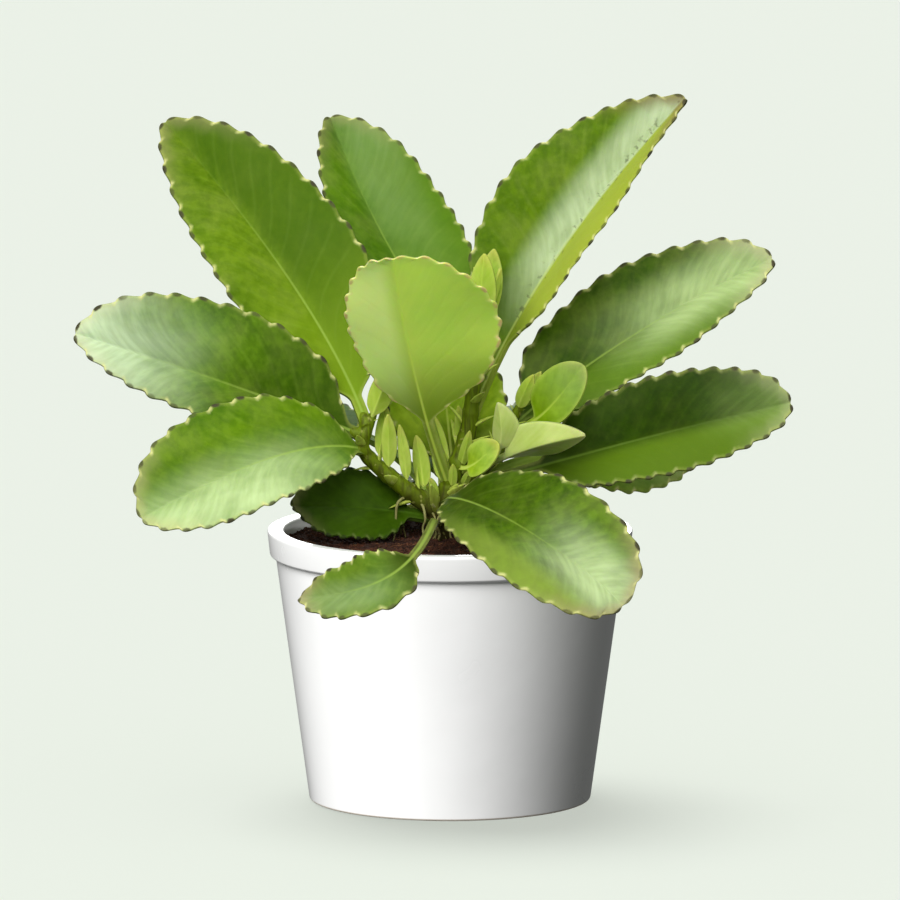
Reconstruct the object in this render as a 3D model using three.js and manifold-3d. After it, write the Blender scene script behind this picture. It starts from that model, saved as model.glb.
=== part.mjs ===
// Potted kalanchoe: a fleshy houseplant with scalloped leaves in a white glazed cover pot.
// Millimetres, +Z up. The origin is the centre of the pot's flat base, and the front is towards -Y.

import * as THREE from 'three';
import { mergeVertices } from 'three/addons/utils/BufferGeometryUtils.js';
import Module from 'manifold-3d';

const wasm = await Module();
wasm.setup();

// ---------------------------------------------------------------------------------------------
// Driving dimensions
// ---------------------------------------------------------------------------------------------

const CLEARANCE = 0.35; // between a leaf and its stem, a stem and its hole, the soil and its pot

const POT = {
  height: 97,
  baseRadius: 50,
  baseChamfer: 1,
  bodyTopRadius: 62,
  bandHeight: 9.5,
  bandLowerRadius: 64,
  rimRadius: 65,
  rimRound: 1,
  mouthRadius: 59,
  floorRadius: 46,
  floorThickness: 7,
  segments: 64,
};

const SOIL = {
  edgeLevel: 92.5, // height of the peat at the pot's wall
  crown: 1.2, // rise towards the stem
  relief: 0.5, // height of its clods
  clodWaves: [0.31, 0.17, 0.23, -0.11], // waves per millimetre of the two crossing swells
  rings: 9,
  segments: 36,
};

const STEM_SIDES = 8;
const STEPS_PER_SPAN = 2;

// Each shoot runs through its points, and its radius goes evenly from foot to tip.
const CROWN = [-2, 0, 107];
const SHOOTS = {
  stump: { points: [[-4, 1, 94], [-3.4, 0.5, 101], CROWN], radii: [5.2, 4.4] },
  middle: {
    points: [CROWN, [2, 1, 118], [6, 2, 130], [8, 1, 144], [9, 1, 157], [11, 2, 166]],
    radii: [3.8, 2],
  },
  left: {
    points: [[-3, 0.5, 102], [-16, -1, 111.5], [-26, -2, 120], [-31, -3, 126.5], [-29, -3, 134]],
    radii: [3.6, 2.2],
  },
  right: { points: [CROWN, [6, 1, 113], [14, 1, 121], [20, 2, 130], [23, 2, 137]], radii: [3.4, 2] },
};
const ROOT = { depth: 25, overlap: 1 }; // the stump's straight end, sunk in the soil

// Fresh growth at each shoot's tip: a short soft tip with a pair of young leaves, and a smaller pair
// that crosses it inside. The way it grows, the bearing of its first pair, and the leaves' lengths.
const SHOOT_TIPS = {
  shoot_tip_middle: { shoot: 'middle', growth: [0.1, 0.1, 1], turn: 75, lengths: [28, 20] },
  shoot_tip_left: { shoot: 'left', growth: [0.4, 0.1, 1], turn: 85, lengths: [24, 17] },
  shoot_tip_right: { shoot: 'right', growth: [0.5, -0.2, 1], turn: 70, lengths: [16, 11] },
};
const TIP_CORE = { length: 7, radii: [2, 1.2], firstPairAt: 0.3 };
const YOUNG_LEAF = {
  spread: 0.28, // how far it stands out, as a share of its length
  return: 0.8, // share of that spread which its tip keeps
  widthShare: 0.36,
  form: { stalk: 0.1, fold: 20, widest: 0.45, narrowing: 1.3, lean: 0, scallops: 0 },
};

// Buds and slim sprouts in the crown, between the shoots: foot and tip.
const SPROUTS = [
  [[0, -1, 110], [1, -6, 121]],
  [[-5, -2, 107], [-7, -6, 116]],
  [[4, -1, 112], [7, -7, 119]],
  [[3, 0, 117], [7, -6, 133]],
  [[-15, -1, 111], [-18, -4, 135]],
];
const SPROUT = { radii: [1.9, 0.5], sides: 5 };

// Aerial rootlets: they leave the stem and hang towards the soil.
const ROOTLETS = [
  [[-16, -2, 111], [-18, -9, 107], [-14, -11, 97]],
  [[-9, -1, 106.5], [-11, -8, 104], [-9, -10, 96]],
  [[-4, -2, 104], [-7, -9, 101], [-3, -11, 96]],
  [[-1, 3, 103], [1, 8, 101], [3, 11, 96]],
  [[-6, 2, 104], [-12, 6, 101], [-14, 9, 96]],
];
const ROOTLET = { radii: [0.9, 0.6], sides: 4 };

const BLADE = {
  ribThickness: 1.1, // at the tip
  stalkThickness: 2.8,
  marginThickness: 0.85,
  stalkMargin: 1.6,
  marginThinsOver: 0.25, // share of the margin
  stalkHalfWidth: 2.2,
  leastHalfWidth: 0.3,
  keelShare: 0.65, // share of the rib's thickness that lies under the blade's surface
  scallopDepth: 1.4,
  scallopRoundness: 0.7, // below one, the crests are broad and the notches narrow
  scallopsGrowOver: 0.2, // share of the margin
  ripple: 0.8,
  rippleGrowsOver: 0.33, // share of the margin
  ripplesPerMargin: 2.5,
  ripplePhases: [0, 2], // of the left and the right margin
  footShare: 0.16, // share of the blade over which it widens out of its stalk
  sturdyWidth: 30, // a narrower leaf is thinner in proportion
};
const ROWS_PER_SCALLOP = 3;
const STALK_ROWS = 3;
const PLAIN_ROWS = 5;
const TIP_SHARE = 0.99; // the last row stands just short of the tip
const MARGIN_SAMPLES = 240;

// Each leaf: its rib's control points from the stem's axis to the tip, the way its upper face looks,
// full width, share of the length that is stalk, fold of each half in degrees, where it is widest,
// how fast it narrows, how much wider its left half is, and the scallops on each side.
const LEAVES = {
  leaf_left_tall: {
    rib: [[-29.5, -3, 134], [-45, 16, 176], [-102, 45, 237]],
    face: [0.1, -0.9, 0.5], width: 51, stalk: 0.08, fold: 15,
    widest: 0.46, narrowing: 1.1, lean: -0.08, scallops: 15, colour: '#5f8f22',
  },
  leaf_back_tall: {
    rib: [[9, 1, 157], [-20, 42, 177], [-43, 65, 236]],
    face: [0.2, -0.8, 0.6], width: 44, stalk: 0.12, fold: 22,
    widest: 0.48, narrowing: 1.0, lean: -0.15, scallops: 14, colour: '#568a2a',
  },
  leaf_right_tall: {
    rib: [[6, 2, 130], [23, 20, 182], [84, 22, 249]],
    face: [-0.42, -0.76, 0.5], width: 47, stalk: 0.24, fold: 32,
    widest: 0.42, narrowing: 1.4, lean: 0.29, scallops: 15, colour: '#6a9a35',
  },
  leaf_right_high: {
    rib: [[19, 2, 129], [46, 20, 156], [115, 22, 191]],
    face: [-0.3, -0.8, 0.5], width: 42, stalk: 0.09, fold: 16,
    widest: 0.49, narrowing: 1.05, lean: 0.11, scallops: 14, colour: '#67914e',
  },
  leaf_right_low: {
    rib: [[1, -0.5, 109.5], [48, -6, 126], [121, -12, 144]],
    face: [-0.1, -0.9, 0.4], width: 36, stalk: 0.26, fold: 14,
    widest: 0.55, narrowing: 0.95, lean: 0.1, scallops: 14, colour: '#5b8440',
  },
  leaf_under_right: {
    rib: [[4, 1, 111], [40, 14, 131], [87, 18, 118]],
    face: [0, -0.85, 0.5], width: 27, stalk: 0.4, fold: 10,
    widest: 0.5, narrowing: 1.1, lean: 0, scallops: 9, colour: '#4c7030',
  },
  leaf_front_right: {
    rib: [[-2, 0, 106], [2, -44, 119], [34, -70, 107], [61, -80, 82]],
    face: [-0.35, -0.5, 0.8], width: 47, stalk: 0.12, fold: 15,
    widest: 0.68, narrowing: 1.3, lean: 0, scallops: 12, colour: '#6c9a4f',
  },
  leaf_front_middle: {
    rib: [[0, 0, 112], [-13, -22, 150], [-20, -48, 201]],
    face: [0.2, 0.9, 0.4], width: 56, stalk: 0.3, fold: 17,
    widest: 0.54, narrowing: 1.2, lean: 0.16, scallops: 12, colour: '#9abf3a',
  },
  leaf_left_high: {
    rib: [[-31, -3, 130.5], [-64, -7, 146], [-133, -13, 169]],
    face: [0.1, -0.95, 0.35], width: 41, stalk: 0.05, fold: 13,
    widest: 0.52, narrowing: 1.05, lean: -0.27, scallops: 13, colour: '#69934c',
  },
  leaf_left_low: {
    rib: [[-30.2, -3, 125], [-53, -32, 138], [-109, -48, 108]],
    face: [0.2, -0.8, 0.6], width: 43, stalk: 0.05, fold: 15,
    widest: 0.6, narrowing: 1.2, lean: -0.12, scallops: 13, colour: '#6d9a4d',
  },
  leaf_shade_left: {
    rib: [[-4, 1, 100], [-30, -4, 106], [-56, -12, 107]],
    face: [0.2, -0.7, 0.7], width: 30, stalk: 0.2, fold: 8,
    widest: 0.55, narrowing: 1.1, lean: 0, scallops: 10, colour: '#2f4f17',
  },
  leaf_over_rim: {
    rib: [[-4, 1, 98], [-8, -60, 116], [-4, -94, 88], [-53, -60, 82]],
    face: [0.1, -0.8, 0.5], width: 22, stalk: 0.6, fold: 10,
    widest: 0.45, narrowing: 1.1, lean: 0, scallops: 8, colour: '#5f8a42',
  },
  leaf_inner: {
    rib: [[1.2, 0.9, 116], [0, 13, 126], [-4, 24, 162]],
    face: [0.05, -0.9, 0.35], width: 42, stalk: 0.1, fold: 12,
    widest: 0.5, narrowing: 1.0, lean: 0, scallops: 8, colour: '#3f6a1c',
  },
  leaf_rear_high: {
    rib: [[-1.6, 0, 108.5], [-3, 42, 140], [-8, 92, 152]],
    face: [0, -0.2, 1], width: 40, stalk: 0.2, fold: 14,
    widest: 0.5, narrowing: 1.1, lean: 0, scallops: 12, colour: '#5f8f30',
  },
  leaf_rear_left: {
    rib: [[-6, -0.5, 108], [-28, 18, 142], [-88, 72, 121]],
    face: [0.2, -0.2, 1], width: 38, stalk: 0.36, fold: 12,
    widest: 0.5, narrowing: 1.1, lean: 0, scallops: 12, colour: '#5d8a36',
  },
  leaf_rear_right: {
    rib: [[17, 1.5, 126], [36, 44, 140], [66, 90, 118]],
    face: [-0.2, -0.2, 1], width: 38, stalk: 0.2, fold: 12,
    widest: 0.5, narrowing: 1.1, lean: 0, scallops: 12, colour: '#5d8a36',
  },
  leaf_rear_low: {
    rib: [[-3, 0, 104], [6, 40, 124], [14, 84, 110]],
    face: [0, 0, 1], width: 36, stalk: 0.2, fold: 12,
    widest: 0.5, narrowing: 1.1, lean: 0, scallops: 11, colour: '#547f30',
  },
  leaf_rear_rim: {
    rib: [[-4, 1, 100], [-26, 42, 116], [-52, 78, 88]],
    face: [-0.2, 0.3, 1], width: 30, stalk: 0.3, fold: 10,
    widest: 0.5, narrowing: 1.1, lean: 0, scallops: 10, colour: '#4c752c',
  },
  small_leaf_ovate: {
    rib: [[21.5, 2, 133], [31, -14, 133], [47, -14, 158]],
    face: [-0.3, -0.9, 0.3], width: 17, stalk: 0.35, fold: 12,
    widest: 0.5, narrowing: 1, lean: 0.1, scallops: 5, colour: '#86b52f',
  },
  small_leaf_boat: {
    rib: [[12.5, 1, 119], [25, -21, 130], [48, -22, 134]],
    face: [-0.1, 0.9, 0.3], width: 20, stalk: 0.3, fold: 25,
    widest: 0.35, narrowing: 1.1, lean: 0.2, scallops: 4, colour: '#a9c27c',
  },
  small_leaf_lime: {
    rib: [[2.6, 1, 119.5], [6, -11, 117], [17, -13, 130]],
    face: [-0.4, -0.8, 0.4], width: 12, stalk: 0.35, fold: 18,
    widest: 0.5, narrowing: 1, lean: 0, scallops: 4, colour: '#8dab3c',
  },
};

const STEM_COLOUR = '#5d6f2b';
const FRESH_COLOUR = '#a6c94a';
const SOIL_COLOUR = '#3a2619';
const GLAZE_COLOUR = '#f2f1ee';

// ---------------------------------------------------------------------------------------------
// Solids
// ---------------------------------------------------------------------------------------------

const vector = ([x, y, z]) => new THREE.Vector3(x, y, z);

/** The closed solid whose cross-sections are the rings, each run counter-clockwise about the way on. */
function ringSolid(rings) {
  const count = rings[0].length;
  const last = (rings.length - 1) * count;
  const triangles = [];
  for (let row = 0; row < rings.length - 1; row += 1) {
    for (let i = 0; i < count; i += 1) {
      const a = row * count + i;
      const b = row * count + (i + 1) % count;
      // Seen from either face of a blade, the diagonal runs from its margin forward to its rib.
      if (i % 3 === 0 || i % 3 === 2) {
        triangles.push(a, b, b + count, a, b + count, a + count);
      } else {
        triangles.push(a, b, a + count, b, b + count, a + count);
      }
    }
  }
  for (let i = 2; i < count; i += 1) {
    const next = (i + 1) % count;
    triangles.push(1, next, i);
    triangles.push(last + 1, last + i, last + next);
  }
  return manifoldOf(rings.flat().flatMap((p) => [p.x, p.y, p.z]), triangles);
}

/** A manifold from a flat list of coordinates and a flat list of triangle corners. */
function manifoldOf(coordinates, corners) {
  const triangles = [];
  for (let i = 0; i < corners.length; i += 3) {
    const [a, b, c] = corners.slice(i, i + 3);
    if (a !== b && b !== c && c !== a) triangles.push(a, b, c);
  }
  return new wasm.Manifold(new wasm.Mesh({
    numProp: 3,
    vertProperties: Float32Array.from(coordinates),
    triVerts: Uint32Array.from(triangles),
  }));
}

/** A manifold from a closed three.js geometry. */
function manifoldFrom(geometry) {
  const bare = geometry.clone();
  bare.deleteAttribute('normal');
  bare.deleteAttribute('uv');
  const merged = mergeVertices(bare, 1e-4);
  return manifoldOf(Array.from(merged.attributes.position.array), Array.from(merged.index.array));
}

/** The manifolds as one. */
function union(manifolds) {
  return manifolds.reduce((whole, piece) => whole.add(piece));
}

/** The largest of the bodies that a cut leaves. */
function largestBody(manifold) {
  return manifold.decompose().sort((a, b) => b.volume() - a.volume())[0];
}

/** The three.js geometry of a manifold. */
function geometryOf(manifold) {
  const { vertProperties, triVerts } = manifold.getMesh();
  const geometry = new THREE.BufferGeometry();
  geometry.setAttribute('position', new THREE.BufferAttribute(vertProperties, 3));
  geometry.setIndex(new THREE.BufferAttribute(triVerts, 1));
  geometry.computeVertexNormals();
  return geometry;
}

/** A round limb through the points, its radius going evenly from the first value to the second. */
function limb(points, { radii, sides }, grow) {
  const curve = new THREE.CatmullRomCurve3(points.map(vector));
  const steps = (points.length - 1) * STEPS_PER_SPAN;
  const { normals, binormals } = curve.computeFrenetFrames(steps);
  const rings = [];
  for (let step = 0; step <= steps; step += 1) {
    const share = step / steps;
    const radius = THREE.MathUtils.lerp(radii[0], radii[1], share) + grow;
    const overrun = { 0: -grow, [steps]: grow }[step] ?? 0;
    const centre = curve.getPointAt(share).addScaledVector(curve.getTangentAt(share), overrun);
    rings.push(Array.from({ length: sides }, (_, i) => {
      const angle = (i / sides) * 2 * Math.PI;
      return centre.clone()
        .addScaledVector(normals[step], radius * Math.cos(angle))
        .addScaledVector(binormals[step], radius * Math.sin(angle));
    }));
  }
  return ringSolid(rings);
}

/** How sturdy a leaf's stalk and rib are, next to those of a full-grown leaf. */
function sturdinessOf(leaf) {
  return Math.min(1, leaf.width / BLADE.sturdyWidth);
}

/** Share of the full half-width at a place along the blade, from its foot at 0 to its tip at 1. */
function bladeShare(u, { widest, narrowing }) {
  const rise = (u / widest) ** (narrowing * widest);
  const fall = ((1 - u) / (1 - widest)) ** (narrowing * (1 - widest));
  const foot = 1 - Math.max(0, 1 - u / BLADE.footShare) ** 2;
  return rise * fall * foot;
}

/** The smooth margin of one half, as places along and across the rib at these shares of its length. */
function smoothMargin(leaf, length, side, shares) {
  const half = (leaf.width / 2) * (1 + side * leaf.lean);
  const stalkHalf = BLADE.stalkHalfWidth * sturdinessOf(leaf);
  const places = [];
  let run = 0;
  for (let i = 0; i <= MARGIN_SAMPLES; i += 1) {
    const u = 1 - (1 - i / MARGIN_SAMPLES) ** 2;
    const along = length * (leaf.stalk + (1 - leaf.stalk) * u);
    const across = half * bladeShare(u, leaf) + stalkHalf * (1 - u);
    if (i > 0) run += Math.hypot(along - places[i - 1].along, across - places[i - 1].across);
    places.push({ u, along, across, run });
  }
  let cursor = 0;
  return shares.map((marginShare) => {
    const wanted = run * marginShare;
    while (cursor < MARGIN_SAMPLES - 1 && places[cursor + 1].run < wanted) cursor += 1;
    const [before, after] = [places[cursor], places[cursor + 1]];
    const share = (wanted - before.run) / (after.run - before.run);
    const slope = Math.hypot(after.along - before.along, after.across - before.across);
    return {
      u: THREE.MathUtils.lerp(before.u, after.u, share),
      along: THREE.MathUtils.lerp(before.along, after.along, share),
      across: THREE.MathUtils.lerp(before.across, after.across, share),
      outAlong: -(after.across - before.across) / slope,
      outAcross: (after.along - before.along) / slope,
    };
  });
}

/** How far the margin stands out of its smooth line at a share of its length. */
function scallop(leaf, share) {
  if (leaf.scallops === 0) return 0;
  const wave = Math.abs(Math.sin(Math.PI * leaf.scallops * share)) ** BLADE.scallopRoundness;
  return BLADE.scallopDepth * (wave - 0.5) * Math.min(1, share / BLADE.scallopsGrowOver);
}

/** How far the left and the right margin are lifted by the blade's ripples. */
function rippleLifts(leaf, share) {
  const swell = leaf.scallops ? BLADE.ripple * Math.min(1, share / BLADE.rippleGrowsOver) : 0;
  const turn = 2 * Math.PI * BLADE.ripplesPerMargin * share;
  return BLADE.ripplePhases.map((phase) => swell * Math.sin(turn + phase));
}

/** A leaf: a stalk that widens into a folded, rippled blade with a scalloped margin. */
function leafSolid(leaf, grow = 0) {
  const Curve = leaf.rib.length === 4 ? THREE.CubicBezierCurve3 : THREE.QuadraticBezierCurve3;
  const curve = new Curve(...leaf.rib.map(vector));
  const length = curve.getLength();
  const face = vector(leaf.face);
  const fold = THREE.MathUtils.degToRad(leaf.fold);
  const stalkHalf = BLADE.stalkHalfWidth * sturdinessOf(leaf);
  const stalkRib = BLADE.stalkThickness * sturdinessOf(leaf);
  const stalkMargin = BLADE.stalkMargin * sturdinessOf(leaf);

  // The point of the blade's middle surface at a place along and across the rib.
  const surface = (along, across, lift) => {
    const share = THREE.MathUtils.clamp(along / length, 0, 1);
    const ahead = curve.getTangentAt(share);
    const up = face.clone().addScaledVector(ahead, -face.dot(ahead)).normalize();
    const leftwards = new THREE.Vector3().crossVectors(up, ahead);
    return curve.getPointAt(share)
      .addScaledVector(ahead, Math.max(0, along - length))
      .addScaledVector(leftwards, across * Math.cos(fold))
      .addScaledVector(up, Math.abs(across) * Math.sin(fold) + lift);
  };

  // The ring of six corners round the blade at one row.
  const section = (ribAlong, [left, right], ribThickness, marginThickness, lifts) => {
    const half = marginThickness / 2 + grow;
    return [
      surface(left.along, left.across + grow, lifts[0] + half),
      surface(ribAlong, 0, ribThickness * (1 - BLADE.keelShare) + grow),
      surface(right.along, -right.across - grow, lifts[1] + half),
      surface(right.along, -right.across - grow, lifts[1] - half),
      surface(ribAlong, 0, -ribThickness * BLADE.keelShare - grow),
      surface(left.along, left.across + grow, lifts[0] - half),
    ];
  };

  const rings = [];
  for (let row = 0; row < STALK_ROWS; row += 1) {
    const along = (length * leaf.stalk * row) / STALK_ROWS;
    const edge = { along, across: stalkHalf };
    rings.push(section(along, [edge, edge], stalkRib, stalkMargin, [0, 0]));
  }
  const rows = Math.max(PLAIN_ROWS, leaf.scallops * ROWS_PER_SCALLOP);
  const shares = [...Array.from({ length: rows }, (_, row) => row / rows), TIP_SHARE];
  const halves = [1, -1].map((side) => smoothMargin(leaf, length, side, shares));
  shares.forEach((share, row) => {
    const depth = scallop(leaf, share);
    const overrun = share === TIP_SHARE ? grow : 0;
    const margins = halves.map((half) => ({
      along: half[row].along + depth * half[row].outAlong + overrun,
      across: Math.max(BLADE.leastHalfWidth, half[row].across + depth * half[row].outAcross),
    }));
    const u = (halves[0][row].u + halves[1][row].u) / 2;
    const ribShare = leaf.stalk + ((1 - leaf.stalk) * (u + share)) / 2;
    rings.push(section(
      length * ribShare + overrun,
      margins,
      THREE.MathUtils.lerp(stalkRib, BLADE.ribThickness, Math.sqrt(share)),
      THREE.MathUtils.lerp(
        stalkMargin,
        BLADE.marginThickness,
        Math.min(1, share / BLADE.marginThinsOver),
      ),
      rippleLifts(leaf, share),
    ));
  });
  return ringSolid(rings);
}

// ---------------------------------------------------------------------------------------------
// Pieces
// ---------------------------------------------------------------------------------------------

/** The pot: a tapered wall under a proud rim band, revolved about its axis. */
function pot() {
  const bandFoot = POT.height - POT.bandHeight;
  const profile = [
    [0, 0],
    [POT.baseRadius - POT.baseChamfer, 0],
    [POT.baseRadius, POT.baseChamfer],
    [POT.bodyTopRadius, bandFoot],
    [POT.bandLowerRadius, bandFoot + POT.rimRound / 2],
    [POT.rimRadius, POT.height - POT.rimRound],
    [POT.rimRadius - POT.rimRound, POT.height],
    [POT.mouthRadius + POT.rimRound, POT.height],
    [POT.mouthRadius, POT.height - POT.rimRound],
    [POT.floorRadius, POT.floorThickness],
    [0, POT.floorThickness],
  ];
  const outline = profile.map(([radius, height]) => new THREE.Vector2(radius, height));
  return manifoldFrom(new THREE.LatheGeometry(outline, POT.segments).rotateX(Math.PI / 2));
}

/** Radius of the pot's inner wall at a height, at the middle of one of its flat sides. */
function wallRadius(height) {
  const span = POT.height - POT.rimRound - POT.floorThickness;
  const radius = THREE.MathUtils.lerp(
    POT.floorRadius,
    POT.mouthRadius,
    (height - POT.floorThickness) / span,
  );
  return radius * Math.cos(Math.PI / POT.segments);
}

/** The stem's straight root end as an upright bar that reaches up to a height, fatter by grow. */
function rootBar(top, grow) {
  const [x, y, z] = SHOOTS.stump.points[0];
  const radius = SHOOTS.stump.radii[0] + grow;
  const bottom = z - ROOT.depth - grow;
  return manifoldFrom(new THREE.CylinderGeometry(radius, radius, top - bottom, STEM_SIDES * 2)
    .rotateX(Math.PI / 2)
    .translate(x, y, (top + bottom) / 2));
}

/** The peat: it fills the pot up to a low crown with clods, round the hole that the stem stands in. */
function soil() {
  const floor = POT.floorThickness + CLEARANCE;
  const outline = [new THREE.Vector2(0, floor), new THREE.Vector2(wallRadius(floor) - CLEARANCE, floor)];
  for (let ring = 0; ring <= SOIL.rings; ring += 1) {
    const share = 1 - ring / SOIL.rings;
    const height = SOIL.edgeLevel + SOIL.crown * (1 - share ** 2);
    outline.push(new THREE.Vector2((wallRadius(SOIL.edgeLevel) - CLEARANCE) * share, height));
  }
  const geometry = new THREE.LatheGeometry(outline, SOIL.segments).rotateX(Math.PI / 2);
  const place = geometry.attributes.position;
  const [ax, ay, by, bx] = SOIL.clodWaves;
  for (let i = 0; i < place.count; i += 1) {
    const [x, y, z] = [place.getX(i), place.getY(i), place.getZ(i)];
    const clods = Math.sin(ax * x + ay * y) * Math.cos(bx * x + by * y + 1);
    if (z > SOIL.edgeLevel + CLEARANCE) place.setZ(i, z + SOIL.relief * clods);
  }
  return manifoldFrom(geometry).subtract(rootBar(POT.height, CLEARANCE));
}

/** The fresh growth on one shoot: its soft tip, a pair of young leaves, and a smaller pair across it. */
function shootTip({ shoot, growth, turn, lengths }, grow = 0) {
  const upwards = vector(growth).normalize();
  const foot = vector(SHOOTS[shoot].points.at(-1));
  const crest = foot.clone().addScaledVector(upwards, TIP_CORE.length);
  const core = limb(
    [foot.toArray(), crest.toArray()],
    { radii: TIP_CORE.radii, sides: STEM_SIDES },
    grow,
  );
  const leaves = lengths.flatMap((length, pair) => [0, 180].map((half) => {
    const bearing = THREE.MathUtils.degToRad(turn + half + 90 * pair);
    const outwards = new THREE.Vector3(Math.cos(bearing), Math.sin(bearing), 0);
    const spread = length * YOUNG_LEAF.spread;
    const start = foot.clone()
      .addScaledVector(upwards, TIP_CORE.length * TIP_CORE.firstPairAt * (1 + pair));
    const knee = start.clone()
      .addScaledVector(upwards, length / 2)
      .addScaledVector(outwards, spread);
    const tip = start.clone()
      .addScaledVector(upwards, length)
      .addScaledVector(outwards, spread * YOUNG_LEAF.return);
    return leafSolid({
      ...YOUNG_LEAF.form,
      rib: [start, knee, tip].map((point) => point.toArray()),
      face: outwards.negate().toArray(),
      width: length * YOUNG_LEAF.widthShare,
    }, grow);
  }));
  return union([core, ...leaves]);
}

/** The forked stem with its crown sprouts and rootlets, all of it fatter by grow. */
function stem(grow = 0) {
  const shoots = Object.values(SHOOTS).map(({ points, radii }) => (
    limb(points, { radii, sides: STEM_SIDES }, grow)));
  const sprouts = SPROUTS.map(([foot, tip]) => {
    const middle = foot.map((value, axis) => (value + tip[axis]) / 2);
    return limb([foot, middle, tip], SPROUT, grow);
  });
  const rootlets = ROOTLETS.map((points) => limb(points, ROOTLET, grow));
  const root = rootBar(SHOOTS.stump.points[0][2] + ROOT.overlap, grow);
  return union([root, ...sprouts, ...rootlets, ...shoots]);
}

// ---------------------------------------------------------------------------------------------
// Assembly
// ---------------------------------------------------------------------------------------------

const plant = new THREE.Group();

/** Adds a named piece in its own material. */
function place(name, manifold, colour, roughness) {
  const material = new THREE.MeshStandardMaterial({ color: colour, roughness, metalness: 0 });
  const mesh = new THREE.Mesh(geometryOf(manifold), material);
  mesh.name = name;
  plant.add(mesh);
}

place('pot', pot(), GLAZE_COLOUR, 0.2);
place('soil', soil(), SOIL_COLOUR, 0.95);
place('stem', stem(), STEM_COLOUR, 0.6);
const roomForStem = stem(CLEARANCE);
for (const [name, tip] of Object.entries(SHOOT_TIPS)) {
  place(name, largestBody(shootTip(tip).subtract(roomForStem)), FRESH_COLOUR, 0.5);
}
const roomForGrowth = union([
  roomForStem,
  ...Object.values(SHOOT_TIPS).map((tip) => shootTip(tip, CLEARANCE)),
]);
for (const [name, leaf] of Object.entries(LEAVES)) {
  place(name, largestBody(leafSolid(leaf).subtract(roomForGrowth)), leaf.colour, 0.5);
}

export default plant;
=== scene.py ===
"""A potted kalanchoe: scalloped leaves on a forked stem, in dark peat and a white glazed pot.

The sizes are in millimetres, as in the solids, and each mesh is made in metres in the same frame:
+Z up, the origin at the centre of the pot's base, and the front towards -Y.
"""

import logging
import math
from dataclasses import dataclass
from enum import Enum
from functools import cache, reduce
from typing import Any, Sequence

import bmesh
import bpy
import numpy as np
from bpy.types import Material, Mesh, Node, NodeOutputs, NodeSocket, NodeTree, Object
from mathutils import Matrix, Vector, noise


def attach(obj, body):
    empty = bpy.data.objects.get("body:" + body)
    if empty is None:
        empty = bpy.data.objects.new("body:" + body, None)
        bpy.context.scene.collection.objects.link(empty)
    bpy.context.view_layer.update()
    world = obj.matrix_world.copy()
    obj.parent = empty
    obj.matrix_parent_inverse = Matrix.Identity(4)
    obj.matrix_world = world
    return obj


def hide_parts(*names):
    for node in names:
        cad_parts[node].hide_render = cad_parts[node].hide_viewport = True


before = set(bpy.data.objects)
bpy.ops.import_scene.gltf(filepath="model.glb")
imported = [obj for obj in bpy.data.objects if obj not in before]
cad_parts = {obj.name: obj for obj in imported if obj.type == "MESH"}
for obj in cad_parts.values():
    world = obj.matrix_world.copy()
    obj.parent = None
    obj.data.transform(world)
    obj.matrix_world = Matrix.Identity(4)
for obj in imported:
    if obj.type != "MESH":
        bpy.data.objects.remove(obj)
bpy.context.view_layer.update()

log = logging.getLogger("kalanchoe")

MM = 0.001
UV_UNIT = 100.0  # millimetres to one unit of a blade's UV map
ROOT_BODY = "root"

Rgb = tuple[float, float, float]
Point = tuple[float, float, float]
Pair = tuple[float, float]


class Slot(Enum):
    """The record's material slots."""

    GLAZE = "glaze"
    PEAT = "peat"
    STEM_BARK = "stem_bark"
    YOUNG_LEAF = "young_leaf"
    LEAF_GREEN = "leaf_green"
    LEAF_FROSTED = "leaf_frosted"
    LEAF_DARK = "leaf_dark"
    LEAF_LIME = "leaf_lime"
    LEAF_PALE = "leaf_pale"


def linear(level: int) -> float:
    """The linear share of a display level from 0 to 255."""
    share = level / 255
    return share / 12.92 if share <= 0.04045 else ((share + 0.055) / 1.055) ** 2.4


def srgb(*levels: int) -> Rgb:
    """The linear colour of display red, green and blue."""
    return tuple(map(linear, levels))


# ---- Node trees ----


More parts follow.
